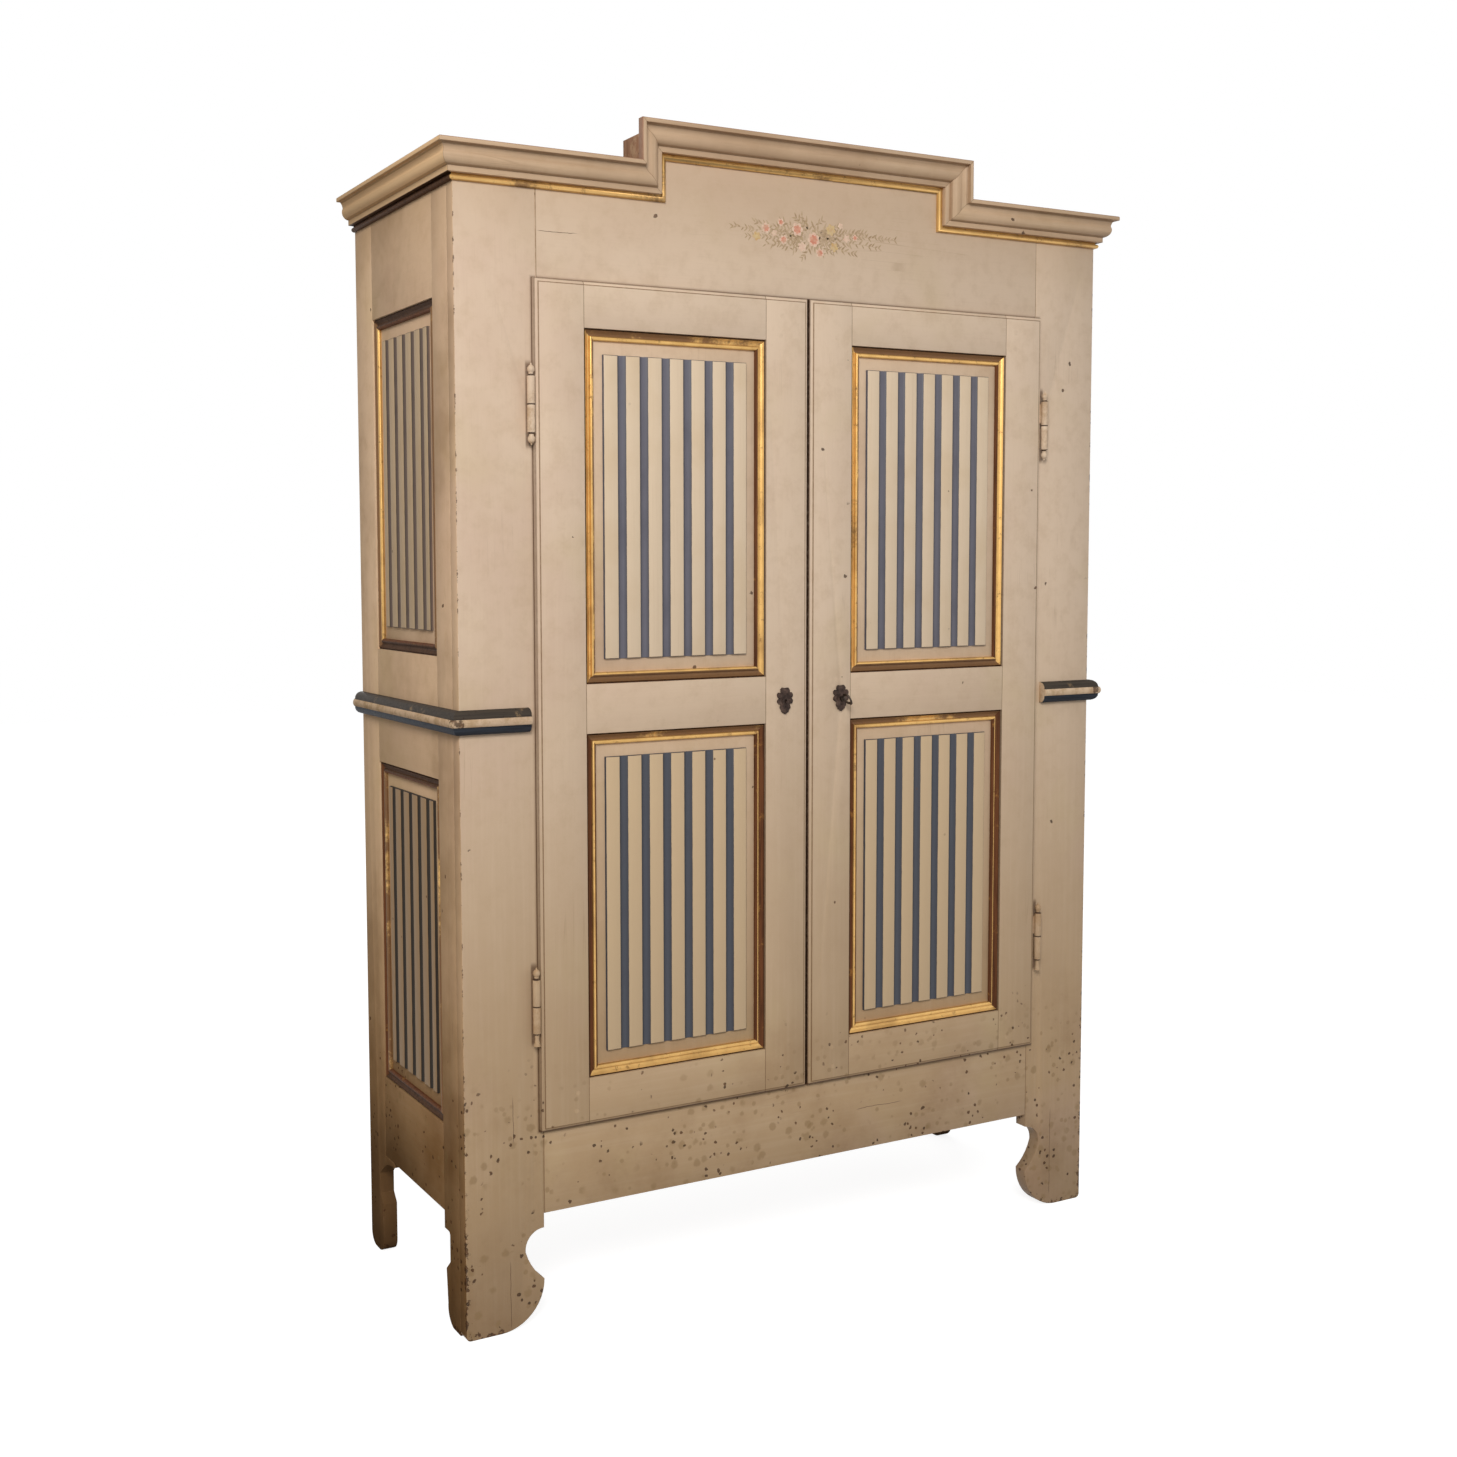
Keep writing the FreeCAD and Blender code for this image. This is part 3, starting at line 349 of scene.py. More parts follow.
CASE_HALF = 700 * MM
FRONT_Y = -230.5 * MM
DOOR_Y = -242.5 * MM
DOOR_HALF = 558 * MM
DOOR_INNER = 2 * MM
DOOR_LOW = 352 * MM
DOOR_HIGH = 1834 * MM
STILE_OUTER = 465 * MM
STILE_INNER = 95 * MM
PINS = (1620 * MM, 580 * MM)
KNUCKLE = 49 * MM
CORNICE_LOW = 1982 * MM
CORNICE_HIGH = 2054 * MM
RISER_FOOT = 299 * MM
BOARD_THICK = 6 * MM
FLUTE_DEEP = 4.5 * MM
FIELD_Y = -232.5 * MM
SIDE_FIELD = 690 * MM

# Finishes

# The cream paint, from its clouds and brush marks to its ageing and its painted shade.
CREAM = srgb(222, 198, 173)
CREAM_LOW = srgb(187, 157, 121)
ROSY = srgb(208, 178, 158)
YELLOWED = srgb(204, 182, 140)
BRUSHED = srgb(230, 208, 182)
STROKE = srgb(186, 158, 128)
MOTTLED = srgb(192, 164, 132)
# Painted shade, darker towards the top of the case and on the cornice.
PAINTED_TOP_SHADE = srgb(184, 156, 126)
AGED_AND_SHADED_BROWN = srgb(118, 82, 44)
DRAWN_DARK = srgb(162, 130, 100)
DRAWN_LIGHT = srgb(224, 198, 168)
STRAW = srgb(244, 204, 156)
EDGE_HIGHLIGHT = srgb(236, 214, 186)
EDGE_RUBBED = srgb(168, 132, 92)
# What stains it, what lies in its cracks and under its knocks, and the painted shade in its gaps
# and quirks and on the sides.
MURK = srgb(138, 104, 68)
FLOOR_BROWN = srgb(124, 94, 64)
FOXING = srgb(146, 118, 80)
SIDE_BROWN = srgb(84, 50, 16)
SIDE_SHADE = srgb(56, 36, 20)
CRAZING = srgb(140, 108, 78)
CRACK_DIRT = srgb(74, 50, 34)
# Painted shade round the doors, beside the hinges and along the doors' outer edge.
GAP_SHADE = srgb(84, 54, 32)
MITRE_DIRT = srgb(96, 64, 40)
QUIRK_SHADE = srgb(128, 92, 60)
UMBER = srgb(92, 58, 36)
SOOT = srgb(46, 33, 26)
GRIME = srgb(96, 68, 42)


@dataclass(frozen=True)
class Crack:
    """Hair crack on the case's front: its place on one axis, its start and end on the other."""

    upright: bool
    at: float
    start: float
    end: float


CRACKS = (Crack(True, -608 * MM, 337 * MM, 426 * MM),
          Crack(True, -616 * MM, 4 * MM, 133 * MM),
          Crack(False, 1914 * MM, -549 * MM, -465 * MM),
          Crack(True, 617 * MM, 20 * MM, 210 * MM),
          Crack(False, 283 * MM, 120 * MM, 236 * MM))


class Across(Enum):
    """What a dark line's place is measured along."""

    SIDE = "distance from the middle plane"
    UP = "height"
    RIM = "distance outside the doors' outline"
    EDGE = "the same, and only behind the doors' front edge"


@dataclass(frozen=True)
class DirtAndShadeLine:
    """Dark line in a joint, a quirk or a gap: old dirt in the joints, painted shade in the quirks
    and gaps.
    """

    along: Across
    at: float
    half: float
    share: float
    tone: Colour = GRIME


# On the doors: painted shade in the lip's quirk, along the outer edge, in the gap behind the edge
# and under the bottom lip; dirt in the stiles' joints.
DOOR_LINES = (DirtAndShadeLine(Across.RIM, -7.2 * MM, 1.3 * MM, 0.7, srgb(112, 80, 48)),
              DirtAndShadeLine(Across.RIM, -1.4 * MM, 1.1 * MM, 0.5, GAP_SHADE),
              DirtAndShadeLine(Across.EDGE, 0.0, 1.6 * MM, 1.0, srgb(58, 37, 24)),
              DirtAndShadeLine(Across.SIDE, STILE_OUTER, 0.9 * MM, 0.6),
              DirtAndShadeLine(Across.SIDE, STILE_INNER, 0.9 * MM, 0.6),
              DirtAndShadeLine(Across.UP, DOOR_LOW, 5.5 * MM, 0.85, srgb(78, 52, 34)))
CASE_LINES = (DirtAndShadeLine(Across.SIDE, 549 * MM, 0.9 * MM, 0.55),)
HINGE_LINES = tuple(DirtAndShadeLine(Across.UP, pin + step, half, 0.95, srgb(64, 42, 28))
                    for pin in PINS for step, half in ((0.0, 1.7 * MM), (KNUCKLE, 2.2 * MM),
                                                       (-KNUCKLE, 2.2 * MM)))


def cornice_lines(along: Across, base: float) -> tuple[DirtAndShadeLine, ...]:
    """Painted shade in the two quirks of the cornice, and dirt along its top edge.

    Args:
        along: What the profile's height is measured along.
        base: Where it starts.

    Returns:
        The lines.
    """
    # Painted shade in the quirks.
    return (DirtAndShadeLine(along, base + 22.5 * MM, 2.0 * MM, 0.4, QUIRK_SHADE),
            DirtAndShadeLine(along, base + 53 * MM, 2.4 * MM, 0.45, QUIRK_SHADE),
            DirtAndShadeLine(along, base + 62 * MM, 2.0 * MM, 0.65, srgb(140, 88, 66)))


@dataclass(frozen=True)
class CreamPaint:
    """Old cream paint: brush marks, darkening and yellowing towards the floor that is partly
    painted shade, foxing, chips and fine cracks.

    warm is how brown it is, and how much painted shade the cornice and the sides take; edge makes
    it the worn edge of a board, and lines are its dark lines of dirt and painted shade.
    gap adds the painted shade round doors and hinges and the front's cracks, mitres the cornice's
    joints.
    straw is how far it goes to a light yellow.
    """

    name: str
    grain: Grain
    warm: float = 0.0
    edge: bool = False
    lines: tuple[DirtAndShadeLine, ...] = ()
    gap: bool = False
    mitres: bool = False
    straw: float = 0.0

    @property
    def on_side(self) -> bool:
        """Whether it is the brown, dull paint of the sides."""
        return self.warm == 1.0

    def ground(self, b: Bench) -> Wire:
        """Paint colour with its clouds and brush marks.

        Args:
            b: The material being made.

        Returns:
            The colour.
        """
        cloud = b.noise(2.3, 4.0, 0.6)
        fine = b.noise(95.0, 3.0, 0.6, b.stretched(self.grain.value))
        # Darker and yellower towards the floor, partly painted shade.
        base = b.blend(b.z.rise(1.5, 0.2) + (cloud - 0.5) * 0.5, CREAM, CREAM_LOW)
        base = b.blend(cloud.rise(0.48, 0.72) * 0.4, base, ROSY)
        base = b.blend(b.noise(4.1, 3.0).rise(0.5, 0.75) * 0.35, base, YELLOWED)
        base = b.blend(fine.rise(0.42, 0.75) * 0.1, base, BRUSHED)
        base = b.blend(b.noise(30.0, 5.0, 0.68).rise(0.42, 0.74) * 0.3, base, MOTTLED)
        # Painted shade: darker towards the top of the case and on the cornice.
        base = b.blend(b.z.rise(1.83, 2.02) * 0.5, base, PAINTED_TOP_SHADE)
        if self.warm:
            # The multiply browns the paint; on the cornice it is painted shade.
            shade = (1.12, 1.02, 0.9) if self.on_side else (1.0, 0.91, 0.78)
            base = b.blend(self.warm, base, b.blend(1.0, base, shade, "MULTIPLY"))
            # Brown patches, and a browning towards the floor that is partly painted shade.
            aged_and_shaded = b.noise(3.2, 4.0, 0.6).rise(0.42, 0.7) * 0.38 + b.z.rise(0.66, 0.22) * 0.54
            base = b.blend(aged_and_shaded * self.warm, base, AGED_AND_SHADED_BROWN)
        if self.mitres:
            drawn = b.noise(48.0, 5.0, 0.7, b.stretched(self.grain.value))
            base = b.blend(drawn.rise(0.46, 0.68) * 0.34, base, DRAWN_DARK)
            base = b.blend(drawn.rise(0.44, 0.3) * 0.3, base, DRAWN_LIGHT)
        if self.straw:
            base = b.blend(self.straw, base, STRAW)
        return base

    def stains(self, b: Bench, base: Wire) -> Wire:
        """Brown bloom near the floor, soft round spots on the lowest boards, and painted shade low
        on the sides.

        Args:
            b: The material being made.
            base: The paint's colour.

        Returns:
            The stained colour.
        """
        murk = b.noise(5.0, 5.0, 0.65).rise(0.42, 0.74)
        base = b.blend(murk * b.z.rise(0.8, 0.05) * 0.5, base, MURK)
        base = b.blend(b.z.rise(0.32, 0.0) * 0.42, base, FLOOR_BROWN)
        ragged = b.noise(85.0, 3.0) * 0.3
        for scale, chance in ((30.0, 0.47), (52.0, 0.51)):
            spot = (b.cells(scale) + ragged).rise(0.44, 0.3)
            chosen = b.noise(scale * 0.21, 2.0).rise(chance - 0.03, chance + 0.03)
            base = b.blend(spot * chosen * b.z.rise(0.5, 0.33) * 0.5, base, FOXING)
        if self.on_side:
            # The sides brown towards the floor, which is partly painted shade, and darken low down
            # towards the back, which is painted shade.
            base = b.blend(b.z.rise(0.52, 0.24) * 0.16, base, SIDE_BROWN)
            shaded = b.y.rise(-0.1, 0.12) * b.z.rise(0.34, 0.2) * 0.42 + b.z.rise(0.09, 0.02) * 0.2
            base = b.blend(shaded, base, SIDE_SHADE)
        return base

    def losses(self, b: Bench, torn: Wire) -> Wire:
        """Knocks, chipped corners and scuffed soles, as a mask.

        Args:
            b: The material being made.
            torn: Ragged noise that breaks the borders.

        Returns:
            The mask of lost paint.
        """
        low = b.z.rise(0.55, 0.05)
        bent = b.warped(90.0, 0.009)
        knock = b.cells(14.0, at=bent) + (torn - 0.5) * 0.1
        lost = knock.rise(0.058, 0.046) * b.noise(6.0, 2.0).rise(0.48, 0.51)
        many = b.cells(60.0, at=bent) + (torn - 0.5) * 0.14 - low * 0.04
        chosen = b.noise(13.0, 2.0).rise(0.51, 0.54)
        lost = lost.most(many.rise(0.19, 0.15) * chosen * low.rise(0.0, 0.2))
        corner = (CASE_HALF - abs(b.x)).most(0.0) + (b.y - FRONT_Y).most(0.0)
        bite = b.noise(52.0, 7.0, 0.8).rise(0.46, 0.78) * (4.6 * MM + low * (18 * MM))
        below = b.z.rise(CORNICE_LOW - 3 * MM, CORNICE_LOW - 7 * MM)
        chips = (bite - corner).rise(0.0, 0.6 * MM) * below
        sole = (b.noise(70.0, 5.0, 0.7).rise(0.42, 0.82) * (36 * MM) - b.z).rise(0.0, 3 * MM)
        return lost.most(chips).most(sole)

    def place(self, b: Bench, along: Across) -> Wire:
        """Where a point is, measured as a dark line wants it.

        Args:
            b: The material being made.
            along: What the place is measured along.

        Returns:
            The distance or height in metres.
        """
        if along is Across.SIDE:
            return abs(b.x)
        if along is Across.UP:
            return b.z
        rim = (abs(b.x) - DOOR_HALF).most(b.z - DOOR_HIGH).most(DOOR_LOW - b.z)
        return rim.most(DOOR_INNER - abs(b.x))

    def dirt_and_shade(self, b: Bench, base: Wire, torn: Wire) -> Wire:
        """Draw the dark lines, and the painted shade round doors and hinges on the case.

        Args:
            b: The material being made.
            base: The paint's colour.
            torn: Ragged noise that breaks the lines.

        Returns:
            The colour with its dirt.
        """
        middle = 1.0 - abs(b.x).rise(0.1, 0.3) * 0.6
        behind = b.y.rise(DOOR_Y + 3 * MM, DOOR_Y + 6 * MM)
        behind = behind * b.y.rise(FRONT_Y + 3.5 * MM, FRONT_Y - 3.5 * MM)
        for line in self.lines:
            off = abs(self.place(b, line.along) - line.at)
            broken = line.share * 0.6 + torn * line.share * 0.8
            mark = off.rise(line.half, line.half * 0.45) * broken
            if line.along is Across.EDGE:
                mark = mark * (behind * middle)
            base = b.blend(mark, base, line.tone)
        if self.gap:
            face = abs(b.y - FRONT_Y).rise(2.5 * MM, 1 * MM)
            base = self.margins(b, base, torn, face)
            base = self.cracks(b, base, face)
        if self.mitres:
            corner = abs(abs(b.x) + b.y - (CASE_HALF + FRONT_Y))
            high, low = (abs(abs(b.x) - b.z + (foot - RISER_FOOT))
                         for foot in (CORNICE_HIGH, CORNICE_LOW))
            joint = corner.least(high.least(low)).rise(0.9 * MM, 0.4 * MM)
            base = b.blend(joint * 0.4, base, MITRE_DIRT)
        return base

    def margins(self, b: Bench, base: Wire, torn: Wire, face: Wire) -> Wire:
        """Painted shade on the case round the doors and beside the hinges.

        Args:
            b: The material being made.
            base: The paint's colour.
            torn: Ragged noise that breaks the margin.
            face: Mask of the case's front face.

        Returns:
            The colour with the margin.
        """
        rim = self.place(b, Across.RIM)
        margin = rim.rise(5.5 * MM, 0.0) * 0.5 + rim.rise(1.8 * MM, 0.9 * MM) * 0.4
        beside = abs(abs(b.x) - (DOOR_HALF + 5.5 * MM)).rise(9.5 * MM, 6 * MM) * (0.5 + torn * 0.4)
        near = abs(b.z - PINS[0]).least(abs(b.z - PINS[1])).rise(78 * MM, 66 * MM)
        return b.blend((margin.most(beside * near) * face).least(0.92), base, GAP_SHADE)

    def cracks(self, b: Bench, base: Wire, face: Wire) -> Wire:
        """Hair cracks of the case's front.

        Args:
            b: The material being made.
            base: The paint's colour.
            face: Mask of the case's front face.

        Returns:
            The colour with the cracks.
        """
        wander = (b.noise(19.0, 4.0, 0.6) - 0.5) * (7 * MM)
        for crack in CRACKS:
            off, run = (b.x, b.z) if crack.upright else (b.z, b.x)
            thin = abs(off - crack.at + wander).rise(0.7 * MM, 0.2 * MM)
            begun = run.rise(crack.start, crack.start + 10 * MM)
            ends = begun * run.rise(crack.end, crack.end - 20 * MM)
            base = b.blend(thin * ends * face * 0.85, base, CRACK_DIRT)
        return base

    def mix(self) -> bpy.types.Material:
        """Make the material.

        Returns:
            The material.
        """
        b = Bench(self.name)
        strokes = b.noise(420.0, 2.0, 0.5, b.stretched(self.grain.value))
        torn = b.noise(150.0, 5.0, 0.72)
        base = self.ground(b)
        base = b.blend(strokes.rise(0.5, 0.8) * 0.09, base, STROKE)
        base = self.stains(b, base)
        gone = self.losses(b, torn)
        if self.edge:
            rub = b.noise(24.0, 6.0, 0.75)
            # Painted highlight along the rounded edge, stronger higher up.
            base = b.blend(b.z.rise(0.3, 1.4) * 0.25, base, EDGE_HIGHLIGHT)
            base = b.blend(rub.rise(0.42, 0.62) * 0.6, base, EDGE_RUBBED)
            gone = gone.most(rub.rise(0.64, 0.69) * 0.7)
        borders = b.cells(60.0, "DISTANCE_TO_EDGE", at=b.stretched(self.grain.value))
        web = borders.rise(0.03, 0.0) * b.noise(6.0, 3.0).rise(0.57, 0.72)
        base = b.blend(web * 0.25, base, CRAZING)
        base = self.dirt_and_shade(b, base, torn)
        rust = b.blend(torn.rise(0.4, 0.6), SOOT, UMBER)
        base = b.blend(gone * 0.82, base, rust)
        b.feed(base_color=base, roughness=0.46 + strokes * 0.14 + gone * 0.25,
               specular_ior_level=0.0 if self.on_side else 0.22)
        b.relief(strokes * 0.18 + torn * 0.15 + (1.0 - gone) * 2.2 - web, 0.4, 0.26 * MM)
        return b.material


@dataclass(frozen=True)
class FlutedPaint:
    """Cream board whose flutes are painted slate, with a painted highlight down each flute's middle
    and painted shade along its edges.

    Each board's dirt and painted shade multiply its paint, and slate is the flutes' colour; both
    are given above and below.
    """

    name: str
    across: bool = True
    age: tuple[Colour, Colour] = ((1.0, 1.0, 1.0), (1.0, 1.0, 1.0))
    slate: tuple[Colour, Colour] = (srgb(87, 85, 93), srgb(60, 62, 69))
    gloss: float = 0.4

    def mix(self) -> bpy.types.Material:
        """Make the material.

        Returns:
            The material.
        """
        b = Bench(self.name)
        if self.across:
            depth = (b.y - (FIELD_Y - BOARD_THICK)) / FLUTE_DEEP
        else:
            depth = (SIDE_FIELD + BOARD_THICK - abs(b.x)) / FLUTE_DEEP
        # Darker towards the floor, partly painted shade.
        low = b.z.rise(1.2, 1.0)
        wander = (b.noise(34.0, 4.0, 0.6) - 0.5) * 0.16
        streaks = b.noise(260.0, 3.0, 0.6, b.stretched((1.0, 1.0, 0.02)))
        cream = b.blend(low * 0.9, srgb(224, 201, 172), srgb(202, 174, 137))
        cream = b.blend(streaks.rise(0.5, 0.85) * 0.25, cream, srgb(190, 160, 126))
        cream = b.blend(b.noise(8.0, 4.0).rise(0.42, 0.72) * 0.4, cream, srgb(208, 180, 142))
        blue = b.blend(low, *self.slate)
        # Painted highlight down the middle of each flute.
        centre = b.blend(1.0, blue, (1.5, 1.5, 1.52), "MULTIPLY")
        blue = b.blend(depth.rise(0.6, 1.0) * (0.4 + streaks * 0.8), blue, centre)
        blue = b.blend(b.noise(14.0, 4.0).rise(0.45, 0.8) * 0.35, blue, srgb(62, 60, 70))
        edge = (depth + wander).rise(0.1, 0.2)
        # Painted shade along each flute's edges.
        rim = (depth + wander).rise(0.02, 0.16) * (depth + wander).rise(0.5, 0.2)
        base = b.blend(edge, cream, blue)
        base = b.blend(rim * 0.6, base, srgb(52, 46, 50))
        knock = b.cells(22.0) + b.noise(120.0, 4.0, 0.7) * 0.06
        gone = knock.rise(0.1, 0.075) * b.noise(8.0, 2.0).rise(0.52, 0.58)
        base = b.blend(gone * 0.8, base, UMBER)
        base = b.blend(1.0, base, b.blend(low, *self.age), "MULTIPLY")
        b.feed(base_color=base, roughness=0.42 + streaks * 0.16, specular_ior_level=self.gloss)
        b.relief(streaks * 0.4 + (1.0 - gone) * 1.5, 0.4, 0.3 * MM)
        return b.material


class Wear(Enum):
    """How far gilding has gone back to the bole under it."""

    BRIGHT = 0.62
    RUBBED = 0.6
    DULL = 0.36
    BROWN = 0.22


@dataclass(frozen=True)
class Gilding:
    """Leaf gilding over dark bole, broken where it has been handled."""

    name: str
    wear: Wear
    metal: float = 0.78

    def mix(self) -> bpy.types.Material:
        """Make the material.

        Returns:
            The material.
        """
        b = Bench(self.name)
        long = b.noise(7.0, 5.0, 0.65)
        flake = b.noise(190.0, 4.0, 0.7)
        share = long + (flake - 0.5) * 0.3
        gone = share.rise(self.wear.value - 0.02, self.wear.value + 0.13)
        leaf = b.blend(b.noise(38.0, 3.0), srgb(228, 186, 116), srgb(192, 148, 84))
        leaf = b.blend(b.noise(11.0, 4.0).rise(0.5, 0.78) * 0.55, leaf, srgb(142, 102, 58))
        leaf = b.blend(b.noise(75.0, 6.0, 0.8).rise(0.56, 0.66) * 0.65, leaf, srgb(104, 66, 36))
        bole = b.blend(flake, srgb(84, 54, 30), srgb(124, 82, 44))
        b.feed(base_color=b.blend(gone * 0.92, leaf, bole),
               metallic=self.metal - gone * self.metal * 0.8,
               roughness=0.3 + flake * 0.2 + gone * 0.18)
        b.relief(flake * 0.5 + (1.0 - gone), 0.35, 0.4 * MM)
        return b.material


@dataclass(frozen=True)
class FlatColour:
    """Thin old paint in one colour, with streaks, rubbed patches and knocks.

    The colours are the coat, its streaks and what shows where it is rubbed.
    """

    name: str
    grain: Grain
    coat: Colour
    streak: Colour
    rubbed: Colour
    rub: float
    rough: float = 0.5

    def mix(self) -> bpy.types.Material:
        """Make the material.

        Returns:
            The material.
        """
        b = Bench(self.name)
        lines = b.noise(230.0, 4.0, 0.65, b.stretched(self.grain.value))
        patch = b.noise(28.0, 6.0, 0.72)
        base = b.blend(lines.rise(0.38, 0.72), self.coat, self.streak)
        base = b.blend(patch.rise(self.rub, self.rub + 0.1) * 0.85, base, self.rubbed)
        speck = b.cells(80.0) + b.noise(200.0, 3.0) * 0.12
        base = b.blend(speck.rise(0.2, 0.12) * b.noise(12.0).rise(0.5, 0.6) * 0.8, base, SOOT)
        b.feed(base_color=base, roughness=self.rough + lines * 0.15, specular_ior_level=0.07)
        b.relief(lines * 0.6 + patch * 0.5, 0.4, 0.5 * MM)
        return b.material


@dataclass(frozen=True)
class BareWood:
    """Unpainted softwood inside the case: growth rings, pores and old dust."""

    name: str
    grain: Grain
    tone: float = 1.0

    def mix(self) -> bpy.types.Material:
        """Make the material.

        Returns:
            The material.
        """
        b = Bench(self.name)
        run = b.stretched(self.grain.value)
        warp = b.noise(9.0, 4.0, 0.6, run)
        rings = b.node("ShaderNodeTexWave", {"wave_type": "BANDS", "bands_direction": "DIAGONAL"},
                       {"Vector": run, "Scale": 9.0, "Distortion": 14.0, "Detail": 4.0,
                        "Detail Scale": 0.7}, "Fac")
        rings = rings * 0.45 + b.noise(70.0, 4.0, 0.65, run) * 0.55
        fibre = b.noise(600.0, 3.0, 0.6, run)
        base = b.blend(rings.rise(0.25, 0.8), srgb(171, 134, 92), srgb(138, 100, 64))
        base = b.blend(warp.rise(0.4, 0.75) * 0.5, base, srgb(118, 86, 56))
        base = b.blend(fibre.rise(0.5, 0.8) * 0.4, base, srgb(98, 68, 42))
        base = b.blend(1.0, base, (self.tone,) * 3, "MULTIPLY")
        b.feed(base_color=base, roughness=0.68 + fibre * 0.2, specular_ior_level=0.25)
        b.relief(fibre * 0.7 + rings * 0.4, 0.5, 0.6 * MM)
        return b.material


@dataclass(frozen=True)
class OldMetal:
    """Hand-worked metal with tarnish in its hollows and a rubbed shine."""

    name: str
    dark: Colour
    light: Colour
    metallic: float
    rough: float

    def mix(self) -> bpy.types.Material:
        """Make the material.

        Returns:
            The material.
        """
        b = Bench(self.name)
        patch = b.noise(70.0, 6.0, 0.7)
        grit = b.noise(650.0, 3.0, 0.6)
        base = b.blend(patch.rise(0.35, 0.7), self.dark, self.light)
        base = b.blend(grit.rise(0.55, 0.8) * 0.4, base, SOOT)
        b.feed(base_color=base, metallic=self.metallic - patch.rise(0.5, 0.8) * 0.25,
               roughness=self.rough + grit * 0.2)
        b.relief(patch * 0.6 + grit * 0.4, 0.5, 0.5 * MM)
        return b.material


@dataclass(frozen=True)
class FadedColour:
    """Thin decorator's colour, faded back to the cream ground in patches."""

    name: str
    first: Colour
    second: Colour

    def mix(self) -> bpy.types.Material:
        """Make the material.

        Returns:
            The material.
        """
        b = Bench(self.name)
        base = b.blend(b.noise(160.0, 3.0).rise(0.35, 0.65), self.first, self.second)
        faded = b.noise(90.0, 5.0, 0.7).rise(0.36, 0.7) * 0.55 + 0.15
        base = b.blend(faded, base, srgb(206, 180, 152))
        b.feed(base_color=base, roughness=0.5 + b.noise(400.0) * 0.1, specular_ior_level=0.3)
        return b.material


Finish = CreamPaint | FlutedPaint | Gilding | FlatColour | BareWood | OldMetal | FadedColour


